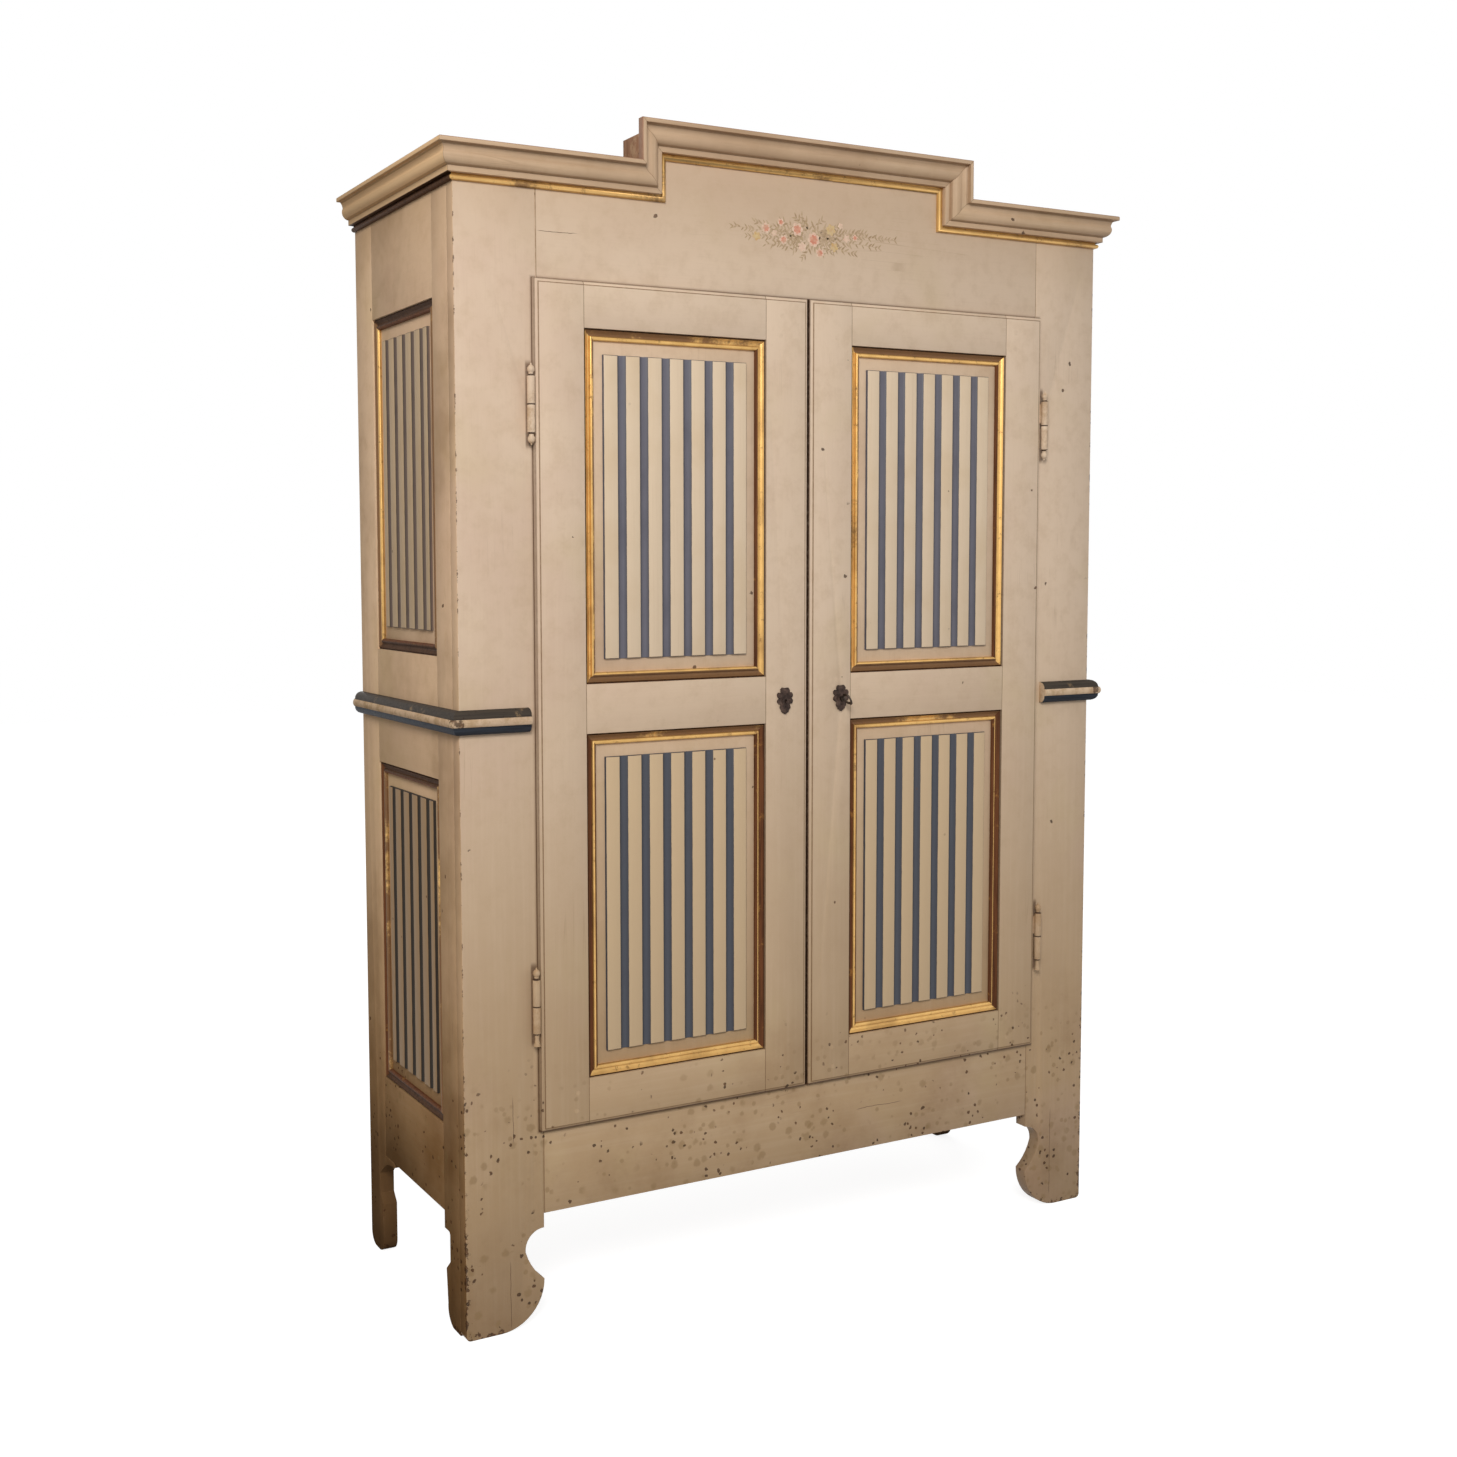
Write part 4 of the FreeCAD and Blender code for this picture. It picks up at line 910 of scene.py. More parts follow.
class Palette:
    """Every finish of the wardrobe, each made once and kept by name."""

    finishes: dict[str, Finish] = {
        "case_upright": CreamPaint("case_paint_upright", Grain.UPRIGHT, lines=CASE_LINES, gap=True),
        "case_across": CreamPaint("case_paint_across", Grain.ACROSS, lines=CASE_LINES, gap=True),
        "case_edge": CreamPaint("case_worn_edge", Grain.UPRIGHT, 0.3, True, CASE_LINES),
        "side_upright": CreamPaint("side_paint_upright", Grain.UPRIGHT, 1.0),
        "side_deep": CreamPaint("side_paint_deep", Grain.DEEP, 1.0),
        "side_edge": CreamPaint("side_worn_edge", Grain.DEEP, 1.0, True),
        "door_upright": CreamPaint("door_paint_upright", Grain.UPRIGHT, lines=DOOR_LINES),
        "door_across": CreamPaint("door_paint_across", Grain.ACROSS, lines=DOOR_LINES),
        "door_edge": CreamPaint("door_worn_edge", Grain.UPRIGHT, 0.3, True, DOOR_LINES),
        "field": CreamPaint("panel_field_paint", Grain.UPRIGHT, 0.4),
        "cornice_low": CreamPaint("cornice_paint_low", Grain.ACROSS, 0.55, mitres=True,
                                  lines=cornice_lines(Across.UP, CORNICE_LOW)),
        "cornice_high": CreamPaint("cornice_paint_high", Grain.ACROSS, 0.55, mitres=True,
                                   lines=cornice_lines(Across.UP, CORNICE_HIGH)),
        "cornice_rise": CreamPaint("cornice_paint_rise", Grain.UPRIGHT, 0.5, mitres=True,
                                   lines=cornice_lines(Across.SIDE, RISER_FOOT)),
        "cornice_deep": CreamPaint("cornice_paint_deep", Grain.DEEP, 1.0, mitres=True, straw=0.85,
                                   lines=cornice_lines(Across.UP, CORNICE_LOW)),
        "hinge_paint": CreamPaint("hinge_cream", Grain.UPRIGHT, 0.2, True, HINGE_LINES),
        "flutes_front": FlutedPaint("fluted_paint_front"),
        "flutes_side": FlutedPaint("fluted_paint_side", across=False, gloss=0.08,
                                   # The side boards darken, more towards the floor: dirt and
                                   # painted shade.
                                   age=((0.76, 0.7, 0.61), (0.6, 0.525, 0.46)),
                                   slate=(srgb(119, 107, 103), srgb(75, 73, 68))),
        "gilt_bright": Gilding("gilding_bright", Wear.BRIGHT),
        "gilt_rubbed": Gilding("gilding_rubbed", Wear.RUBBED, 0.5),
        "gilt_dull": Gilding("gilding_dull", Wear.DULL),
        "gilt_brown": Gilding("gilding_brown", Wear.BROWN),
        "dark_band": FlatColour("dark_brown_band", Grain.UPRIGHT, srgb(88, 60, 40),
                                srgb(58, 40, 28), srgb(150, 112, 66), 0.62),
        "bole_band": FlatColour("red_brown_band", Grain.UPRIGHT, srgb(112, 70, 44),
                                srgb(76, 48, 32), srgb(164, 118, 62), 0.6),
        "belt_top": FlatColour("belt_slate_brown", Grain.ACROSS, srgb(74, 66, 58),
                               srgb(56, 50, 46), srgb(140, 116, 88), 0.6),
        "belt_nose": CreamPaint("belt_nose_cream", Grain.ACROSS, 0.5, True),
        "belt_low": FlatColour("belt_dark_slate", Grain.ACROSS, srgb(56, 60, 68),
                               srgb(40, 42, 48), srgb(130, 112, 88), 0.66),
        "crest_wood": FlatColour("crest_block_brown", Grain.UPRIGHT, srgb(160, 122, 96),
                                 srgb(136, 100, 76), srgb(178, 146, 116), 0.5, 0.65),
        "bare_upright": BareWood("bare_wood_upright", Grain.UPRIGHT),
        "bare_across": BareWood("bare_wood_across", Grain.ACROSS),
        "bare_deep": BareWood("bare_wood_deep", Grain.DEEP, 0.92),
        "bronze": OldMetal("dark_bronze", srgb(44, 32, 27), srgb(90, 70, 60), 0.7, 0.42),
        "iron": OldMetal("old_iron", srgb(46, 43, 41), srgb(92, 86, 80), 0.8, 0.42),
        "steel": OldMetal("dark_key_iron", srgb(50, 40, 34), srgb(96, 84, 74), 0.8, 0.36),
        "leaf": FadedColour("spray_leaf_olive", srgb(150, 122, 88), srgb(176, 150, 114)),
        "rose": FadedColour("spray_salmon", srgb(206, 112, 88), srgb(224, 150, 124)),
        "petal": FadedColour("spray_pale_petal", srgb(236, 208, 184), srgb(228, 186, 164)),
        "ochre": FadedColour("spray_ochre", srgb(204, 158, 84), srgb(216, 190, 132)),
    }
    made: dict[str, bpy.types.Material] = {}

    @classmethod
    def get(cls, name: str) -> bpy.types.Material:
        """The material of a finish, made at its first use.

        Args:
            name: The finish.

        Returns:
            Its material.
        """
        if name not in cls.made:
            cls.made[name] = cls.finishes[name].mix()
        return cls.made[name]


# Hand work on meshes

Test = Callable[[Vector], bool]
DOUBLES = 0.02 * MM
FLAT = math.radians(1.5)
NEAR = 0.01 * MM
HAIR = 0.001 * MM
STAND = Matrix.Rotation(math.radians(90), 4, "X")


class Shop:
    """Operators used with everything else deselected."""

    @staticmethod
    def take(*pieces: bpy.types.Object) -> None:
        """Select only these pieces, the last one active."""
        if bpy.context.mode != "OBJECT":
            bpy.ops.object.mode_set(mode="OBJECT")
        bpy.ops.object.select_all(action="DESELECT")
        for piece in pieces:
            piece.select_set(True)
            bpy.context.view_layer.objects.active = piece

    @classmethod
    def edit(cls, piece: bpy.types.Object, mode: str = "FACE") -> None:
        """Open a piece in edit mode with nothing selected.

        Args:
            piece: The piece.
            mode: Kind of element that is picked.
        """
        cls.take(piece)
        bpy.ops.object.mode_set(mode="EDIT")
        bpy.ops.mesh.select_mode(type=mode)
        bpy.ops.mesh.select_all(action="DESELECT")

    @staticmethod
    def pick(piece: bpy.types.Object, kind: str, test: Callable[..., bool]) -> None:
        """Select the elements that pass a test, in edit mode.

        Args:
            piece: The piece in edit mode.
            kind: "verts", "edges" or "faces".
            test: Test on one element.
        """
        bpy.ops.mesh.select_all(action="DESELECT")
        mesh = bmesh.from_edit_mesh(piece.data)
        for element in getattr(mesh, kind):
            if test(element):
                element.select_set(True)
        mesh.select_flush_mode()
        bmesh.update_edit_mesh(piece.data)

    @staticmethod
    def shut() -> None:
        """Leave edit mode."""
        bpy.ops.object.mode_set(mode="OBJECT")

    @staticmethod
    def fresh(name: str) -> bpy.types.Object:
        """Name the primitive that was just added, and return it."""
        piece = bpy.context.active_object
        piece.name = name
        return piece

    @classmethod
    def smooth(cls, piece: bpy.types.Object, angle: float) -> None:
        """Shade a piece smoothly across edges under an angle, in degrees."""
        cls.take(piece)
        bpy.ops.object.shade_smooth_by_angle(angle=math.radians(angle))

    @staticmethod
    def drop(*models: bpy.types.Object) -> None:
        """Remove models once their copies are made."""
        for model in models:
            bpy.data.objects.remove(model, do_unlink=True)

    @classmethod
    def copied(cls, node: str, name: str) -> bpy.types.Object:
        """Clean copy of a CAD node: doubles merged and flat faces joined.

        Args:
            node: The CAD node.
            name: The new piece's name.

        Returns:
            The piece.
        """
        piece = bpy.data.objects.new(name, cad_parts[node].data.copy())
        bpy.context.scene.collection.objects.link(piece)
        piece.data.materials.clear()
        cls.edit(piece)
        bpy.ops.mesh.select_all(action="SELECT")
        bpy.ops.mesh.remove_doubles(threshold=DOUBLES)
        bpy.ops.mesh.dissolve_limited(angle_limit=FLAT)
        cls.shut()
        return piece

    @classmethod
    def twin(cls, piece: bpy.types.Object, name: str, move: Matrix) -> bpy.types.Object:
        """Copy of a modelled piece with its own mesh, put in place.

        Args:
            piece: The model.
            name: The copy's name.
            move: Where it goes.

        Returns:
            The copy.
        """
        copy = bpy.data.objects.new(name, piece.data.copy())
        bpy.context.scene.collection.objects.link(copy)
        copy.data.transform(move)
        if move.determinant() < 0:
            copy.data.flip_normals()
        return copy

    @classmethod
    def eased(cls, piece: bpy.types.Object, width: float, segments: int = 2, angle: float = 30.0,
              smooth: float = 38.0) -> None:
        """Round a piece's sharp edges a little; the rounding takes the piece's second material.

        Args:
            piece: The piece.
            width: Width of the rounding in metres.
            segments: Steps in it.
            angle: Edges sharper than this are rounded, in degrees.
            smooth: Angle under which faces shade smoothly, in degrees.
        """
        cls.take(piece)
        bevel = piece.modifiers.new("eased_edges", "BEVEL")
        bevel.width = width
        bevel.segments = segments
        bevel.limit_method = "ANGLE"
        bevel.angle_limit = math.radians(angle)
        bevel.use_clamp_overlap = True
        bevel.material = min(1, max(len(piece.data.materials) - 1, 0))
        bpy.ops.object.modifier_apply(modifier=bevel.name)
        cls.smooth(piece, smooth)

    @classmethod
    def joined(cls, pieces: Sequence[bpy.types.Object], name: str) -> bpy.types.Object:
        """Join pieces into one.

        Args:
            pieces: At least one piece.
            name: The result's name.

        Returns:
            The joined piece.
        """
        cls.take(*pieces)
        bpy.ops.object.join()
        piece = bpy.context.view_layer.objects.active
        piece.name = name
        piece.data.name = name
        return piece

    @staticmethod
    def coat(piece: bpy.types.Object, *finishes: str) -> None:
        """Give a piece its materials in order."""
        piece.data.materials.clear()
        for finish in finishes:
            piece.data.materials.append(Palette.get(finish))

    @staticmethod
    def tint(piece: bpy.types.Object, finish: str, test: Test) -> None:
        """Give one of a piece's finishes to the faces whose centre passes a test.

        Args:
            piece: The piece, coated.
            finish: The finish.
            test: Test on a face's centre.
        """
        index = piece.data.materials.find(Palette.get(finish).name)
        for polygon in piece.data.polygons:
            if test(polygon.center):
                polygon.material_index = index

    @staticmethod
    def hang(piece: bpy.types.Object, body: str, slot: str, nodes: Sequence[str] = ()) -> None:
        """Fix a finished piece to its body.

        Args:
            piece: The piece.
            body: The body that carries it.
            slot: Name of the piece's material slot; not used.
            nodes: The CAD nodes that it stands for.
        """
        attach(piece, body)
        if nodes:
            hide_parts(*nodes)
        log.info("%s: %d faces on %s", piece.name, len(piece.data.polygons), body)


@dataclass
class Board:
    """A CAD board carried over with eased edges and paint."""

    node: str
    body: str
    finishes: tuple[str, ...]
    slot: str = "cream_paint"
    ease: float = 0.7 * MM
    smooth: float = 38.0

    def build(self) -> bpy.types.Object:
        """Copy, ease, coat and fix the board.

        Returns:
            The piece.
        """
        piece = Shop.copied(self.node, self.node + "_dressed")
        Shop.coat(piece, *self.finishes)
        Shop.eased(piece, self.ease, smooth=self.smooth)
        Shop.hang(piece, self.body, self.slot, [self.node])
        return piece


@dataclass
class HingeHalves(Board):
    """The halves of the lift-off hinges that one body carries."""

    finishes: tuple[str, ...] = ("hinge_paint",)
    slot: str = "hinge_paint"
    ease: float = 0.4 * MM
    smooth: float = 34.0


CASE_UPRIGHT = ("case_upright", "case_edge")
CASE_ACROSS = ("case_across", "case_edge")
SIDE_UPRIGHT = ("side_upright", "side_edge")
SIDE_DEEP = ("side_deep", "side_edge")


@dataclass
class FlutedBoard:
    """Raised board with round-bottomed flutes, its face towards -Y and its back at y = 0."""

    wide: float
    high: float = 529 * MM
    thick: float = BOARD_THICK
    chamfer: float = 1.5 * MM
    flute: float = 18 * MM
    deep: float = FLUTE_DEEP
    margin: float = 27 * MM
    count: int = 6
    steps: int = 8
    ease: float = 0.35 * MM

    def fall(self, offset: float) -> float:
        """Depth of a flute at an offset from its middle.

        Args:
            offset: Distance from the middle.

        Returns:
            The depth.
        """
        half = self.flute / 2
        r = (half * half + self.deep * self.deep) / (2 * self.deep)
        return max(0.0, math.sqrt(r * r - offset * offset) - (r - self.deep))

    def build(self, name: str) -> bpy.types.Object:
        """Model the board.

        Args:
            name: The piece's name.

        Returns:
            The piece, standing on z = 0 with its left edge at x = 0.
        """
        bpy.ops.mesh.primitive_cube_add(size=1.0)
        piece = Shop.fresh(name)
        piece.data.transform(Matrix.Translation((self.wide / 2, -self.thick / 2, self.high / 2))
                             @ Matrix.Diagonal((self.wide, self.thick, self.high, 1.0)))
        Shop.edit(piece, "EDGE")
        front = -self.thick + HAIR
        Shop.pick(piece, "edges", lambda e: all(v.co.y < front for v in e.verts))
        bpy.ops.mesh.bevel(offset=self.chamfer, segments=1, affect="EDGES")
        bpy.ops.mesh.select_mode(type="VERT")
        pitch = (self.wide - 2 * self.margin - self.flute) / (self.count - 1)
        for index in range(self.count):
            self.groove(piece, self.margin + index * pitch)
        Shop.shut()
        Shop.eased(piece, self.ease, segments=1, angle=40.0, smooth=34.0)
        return piece

    def groove(self, piece: bpy.types.Object, left: float) -> None:
        """Cut one flute, in edit mode: lines down the board, sunk one by one.

        Args:
            piece: The board.
            left: Where the flute starts along X.
        """
        front, rim = -self.thick + HAIR, -self.thick + self.chamfer
        columns = [left + self.flute * step / self.steps for step in range(self.steps + 1)]
        for x in columns:
            bpy.ops.mesh.select_all(action="SELECT")
            bpy.ops.mesh.bisect(plane_co=(x, 0.0, 0.0), plane_no=(1.0, 0.0, 0.0))
        for x in columns[1:-1]:
            depth = self.fall(x - left - self.flute / 2)
            Shop.pick(piece, "verts", lambda v: abs(v.co.x - x) < NEAR and v.co.y < front)
            bpy.ops.transform.translate(value=(0.0, depth, 0.0))
            if depth > self.chamfer:
                Shop.pick(piece, "verts", lambda v: abs(v.co.x - x) < NEAR
                          and abs(v.co.y - rim) < HAIR
                          and (v.co.z < NEAR or v.co.z > self.high - NEAR))
                bpy.ops.transform.translate(value=(0.0, depth - self.chamfer, 0.0))


class Strip(Enum):
    """The four runs of a panel moulding."""

    TOP = "top"
    BOTTOM = "bottom"
    LEFT = "left"
    RIGHT = "right"


class Coat(Enum):
    """What a panel moulding is coated with, in the order of its materials."""

    BAND = "dark_band"
    DULL = "gilt_dull"
    BRIGHT = "gilt_bright"
    BROWN = "gilt_brown"
    BOLE = "bole_band"

    @property
    def index(self) -> int:
        """Its number among the moulding's materials."""
        return list(Coat).index(self)


# Coats of the cove and of the bead's outer and inner half on each run, as in the photograph; they
# are partly painted light and shade, brighter gold on runs that face the light and brown and dark
# on runs in shade.
Gilt = dict[Strip, tuple[Coat, Coat, Coat]]
UPPER_GILT = {Strip.TOP: (Coat.DULL, Coat.BRIGHT, Coat.BRIGHT),
              Strip.BOTTOM: (Coat.BROWN, Coat.BROWN, Coat.BRIGHT),
              Strip.LEFT: (Coat.BRIGHT, Coat.BRIGHT, Coat.DULL),
              Strip.RIGHT: (Coat.BRIGHT, Coat.BRIGHT, Coat.BOLE)}
LOWER_GILT = {Strip.TOP: (Coat.DULL, Coat.BRIGHT, Coat.BRIGHT),
              Strip.BOTTOM: (Coat.BRIGHT, Coat.BRIGHT, Coat.BRIGHT),
              Strip.LEFT: (Coat.BOLE, Coat.BRIGHT, Coat.BOLE),
              Strip.RIGHT: (Coat.BOLE, Coat.BRIGHT, Coat.BOLE)}
SIDE_LOW_GILT = {Strip.TOP: (Coat.BAND, Coat.BAND, Coat.BOLE),
                 Strip.BOTTOM: (Coat.BAND, Coat.BAND, Coat.BOLE),
                 Strip.LEFT: (Coat.BOLE, Coat.BROWN, Coat.DULL),
                 Strip.RIGHT: (Coat.BROWN, Coat.DULL, Coat.DULL)}
SIDE_HIGH_GILT = {**SIDE_LOW_GILT, Strip.LEFT: (Coat.BROWN, Coat.BRIGHT, Coat.BRIGHT)}


@dataclass
class PanelMoulding:
    """Gilt moulding round a panel: dark quirk, cove and half-round bead, mitred at the corners."""

    wide: float
    high: float = 615 * MM
    section: float = 20 * MM
    quirk: float = 3 * MM
    step: float = 5 * MM
    rise: float = 8 * MM
    lip: float = 0.5 * MM
    cove: float = 3 * MM
    bow: float = 1.6 * MM
    bead: float = 4 * MM
    cove_steps: int = 6
    bead_steps: int = 10
    smooth: float = 34.0

    def walk(self) -> list[tuple[float, float]]:
        """Section from the quirk's foot inward, as (inward, up) places.

        Returns:
            The places in order.
        """
        outer, inner = self.quirk + self.lip, self.section - 2 * self.bead
        places = [(self.quirk, self.step),
                  (self.quirk + 0.1 * self.lip, self.rise - 0.8 * self.lip),
                  (outer, self.rise)]
        for i in range(1, self.cove_steps):
            t = i / self.cove_steps
            sag = 4 * t * (1 - t) * self.bow
            places.append((outer + (inner - outer) * t,
                           self.rise + (self.cove - self.rise) * t - sag))
        places.append((inner, self.cove))
        for i in range(1, self.bead_steps + 1):
            angle = math.pi * i / self.bead_steps
            places.append((inner + self.bead * (1 - math.cos(angle)),
                           self.cove + self.bead * math.sin(angle)))
        return places

    def build(self, name: str) -> bpy.types.Object:
        """Model the moulding on a plane by insets, facing +Z, and close its back.

        Args:
            name: The piece's name.

        Returns:
            The piece, centred on the origin with its back at z = 0.
        """
        bpy.ops.mesh.primitive_plane_add(size=1.0)
        piece = Shop.fresh(name)
        piece.data.transform(Matrix.Diagonal((self.wide, self.high, 1.0, 1.0)))
        Shop.edit(piece, "FACE")
        bpy.ops.mesh.select_all(action="SELECT")
        bpy.ops.mesh.extrude_region_move(TRANSFORM_OT_translate={"value": (0.0, 0.0, self.step)})
        here = (0.0, self.step)
        for inward, up in self.walk():
            bpy.ops.mesh.inset(thickness=inward - here[0], depth=up - here[1],
                               use_boundary=True, use_even_offset=True)
            here = (inward, up)
        bpy.ops.mesh.extrude_region_move(TRANSFORM_OT_translate={"value": (0.0, 0.0, -self.cove)})
        Shop.pick(piece, "faces", lambda f: all(abs(v.co.z) < HAIR for v in f.verts))
        bpy.ops.mesh.delete(type="FACE")
        bpy.ops.mesh.select_mode(type="EDGE")
        Shop.pick(piece, "edges", lambda e: e.is_boundary)
        bpy.ops.mesh.bridge_edge_loops()
        bpy.ops.mesh.select_all(action="SELECT")
        bpy.ops.mesh.normals_make_consistent(inside=False)
        Shop.shut()
        Shop.coat(piece, *(coat.value for coat in Coat))
        Shop.smooth(piece, self.smooth)
        return piece

    def gild(self, piece: bpy.types.Object, coats: Gilt) -> None:
        """Give cove, outer and inner half of the bead their coats, run by run; the quirk takes the
        dark band, painted shade in its groove.

        Args:
            piece: A moulding as build() leaves it.
            coats: The coats of each run.
        """
        for polygon in piece.data.polygons:
            x, y = polygon.center.x, polygon.center.y
            sideways, upright = self.wide / 2 - abs(x), self.high / 2 - abs(y)
            if upright < sideways:
                strip = Strip.TOP if y > 0 else Strip.BOTTOM
            else:
                strip = Strip.RIGHT if x > 0 else Strip.LEFT
            inward = min(sideways, upright)
            cove, outer, inner = coats[strip]
            middle = self.section - self.bead
            if inward < self.quirk:
                coat = Coat.BAND
            elif inward < middle - self.bead:
                coat = cove
            else:
                coat = outer if inward < middle else inner
            polygon.material_index = coat.index


# Sub-assemblies


@dataclass
class PanelSet:
    """Models of one width of fluted board and moulding, copied to each place."""

    board: FlutedBoard
    moulding: PanelMoulding
    models: list[bpy.types.Object] = field(default_factory=list)

    def build(self, name: str) -> None:
        """Model both once."""
        self.models = [self.board.build(name + "_board_model"),
                       self.moulding.build(name + "_moulding_model")]

    def place(self, turn: Matrix, lows: Sequence[float], body: str, stem: str, paint: str,
              coats: Sequence[Gilt]) -> None:
        """Copy the models to the panels of one door or side.

        Args:
            turn: Takes the panel hole's lower left corner, at the panel's face, to its place.
            lows: Heights of the panel holes.
            body: The body that carries them.
            stem: Start of the CAD nodes' names, with {} for the kind.
            paint: Finish of the fluted boards.
            coats: Gilding of each panel's moulding.
        """
        boards, frames = [], []
        board_model, frame_model = self.models
        edge = (self.moulding.wide - self.board.wide) / 2
        sill = (self.moulding.high - self.board.high) / 2
        inset = Matrix.Translation((edge, 0.0, sill))
        flat = Matrix.Translation((self.moulding.wide / 2, 0.0, self.moulding.high / 2)) @ STAND
        for low, gilt in zip(lows, coats):
            up = turn @ Matrix.Translation((0.0, 0.0, low))
            self.moulding.gild(frame_model, gilt)
            boards.append(Shop.twin(board_model, "board", up @ inset))
            frames.append(Shop.twin(frame_model, "frame", up @ flat))
        node = stem.format("fluted_boards")
        board = Shop.joined(boards, node + "_dressed")
        Shop.coat(board, paint)
        Shop.hang(board, body, "fluted_paint", [node])
        node = stem.format("mouldings")
        ring = Shop.joined(frames, node + "_dressed")
        Shop.hang(ring, body, "gilt_moulding", [node])

    def clear(self) -> None:
        """Remove the models."""
        Shop.drop(*self.models)


@dataclass
class Case:
    """Front, sides, feet and inside of the case."""

    side_hole: float = 308 * MM
    side_lows: tuple[float, float] = (360 * MM, 1190 * MM)
    side_front_y: float = -132.5 * MM
    side_board: float = 230 * MM
    side_margin: float = 18 * MM
    side_flutes: int = 5
    seam: float = 0.2 * MM
    stile_ease: float = 0.9 * MM
    panel_ease: float = 0.3 * MM
    bare_ease: float = 0.8 * MM

    def build(self) -> None:
        """Dress every board of the case."""
        for side in Side:
            post = Board("front_post_" + side.word, "case", (*CASE_UPRIGHT, "side_upright"),
                         ease=self.stile_ease).build()
            Shop.tint(post, "side_upright", lambda c: abs(c.x) > CASE_HALF - self.seam)
            for stile in ("side_front_stile_", "side_back_stile_"):
                Board(stile + side.word, "case", SIDE_UPRIGHT, ease=self.stile_ease).build()
            Board("side_rails_" + side.word, "case", SIDE_DEEP).build()
            Board("side_panels_" + side.word, "case", ("side_upright",),
                  ease=self.panel_ease).build()
        Board("frieze_board", "case", CASE_ACROSS).build()
        Board("apron", "case", CASE_ACROSS).build()
        self.side_panels()
        self.inside()

    def side_panels(self) -> None:
        """Fluted boards and mouldings of both sides."""
        board = FlutedBoard(self.side_board, margin=self.side_margin, count=self.side_flutes)
        panels = PanelSet(board, PanelMoulding(self.side_hole))
        panels.build("side")
        for side in Side:
            corner_y = self.side_front_y + (self.side_hole if side is Side.LEFT else 0.0)
            turn = Matrix.Translation((side.value * SIDE_FIELD, corner_y, 0.0)) \
                @ Matrix.Rotation(math.radians(side.value * 90), 4, "Z")
            panels.place(turn, self.side_lows, "case", "side_{}_" + side.word, "flutes_side",
                         (SIDE_LOW_GILT, SIDE_HIGH_GILT))
        panels.clear()

    def inside(self) -> None:
        """Bare boards, shelf and rail inside the case."""
        for node, paint in (("back_boards", "bare_upright"), ("back_rails", "bare_across"),
                            ("top_boards", "bare_across"), ("bottom_boards", "bare_across"),
                            ("board_bearers", "bare_deep"), ("shelf", "bare_across"),
                            ("shelf_bearers", "bare_deep"), ("hanging_rod", "bare_across"),
                            ("rod_cleats", "bare_upright")):
            Board(node, "case", (paint,), "bare_wood", self.bare_ease).build()


@dataclass
class Cornice:
    """Stepped cornice with its gilt bead, and the blocks behind its raised part."""

    band_top: float = 1994 * MM
    low_top: float = 2043.9 * MM
    high_top: float = 2115.9 * MM
    ease: float = 0.5 * MM
    bead_ease: float = 0.25 * MM
    block_ease: float = 0.8 * MM

    def run(self, node: str, *finishes: str) -> bpy.types.Object:
        """Dress one run of the cornice, and return it."""
        return Board(node, "case", finishes, ease=self.ease).build()

    def build(self) -> None:
        """Dress the cornice; its tops take the finish of the boards below."""
        for side in Side:
            deep = self.run("cornice_side_" + side.word,
                            "cornice_deep", "side_edge", "dark_band", "side_deep")
            Shop.tint(deep, "dark_band", lambda c: c.z < self.band_top)
            Shop.tint(deep, "side_deep", lambda c: c.z > self.low_top)
            front = self.run("cornice_front_" + side.word,
                             "cornice_low", "cornice_low", "case_across")
            Shop.tint(front, "case_across", lambda c: c.z > self.low_top)
            self.run("cornice_riser_" + side.word, "cornice_rise")
        raised = self.run("cornice_raised", "cornice_high", "cornice_high", "case_across")
        Shop.tint(raised, "case_across", lambda c: c.z > self.high_top)
        Board("cornice_beads", "case", ("gilt_rubbed",), "gilt_moulding",
              self.bead_ease, 60.0).build()
        Board("crest_blocks", "case", ("crest_wood",), "bare_wood", self.block_ease).build()


@dataclass
class Belt:
    """Belt moulding: brown top band, cream nose and dark slate lower band."""

    nose_low: float = 1075 * MM
    nose_high: float = 1089 * MM
    seam: float = 0.3 * MM
    ease: float = 0.4 * MM

    def build(self) -> None:
        """Dress both belts, each band in its own colour and the nose browner along the side."""
        bands = ("belt_nose", "belt_nose", "belt_top", "belt_low", "side_edge")
        for side in Side:
            piece = Board("belt_" + side.word, "case", bands, "belt_paint", self.ease, 50.0).build()
            Shop.tint(piece, "side_edge", lambda c: abs(c.x) - CASE_HALF > FRONT_Y - c.y)
            Shop.tint(piece, "belt_top", lambda c: c.z > self.nose_high - self.seam)
            Shop.tint(piece, "belt_low", lambda c: c.z < self.nose_low + self.seam)


PEG_SEEDS = {Side.LEFT: 11, Side.RIGHT: 12}


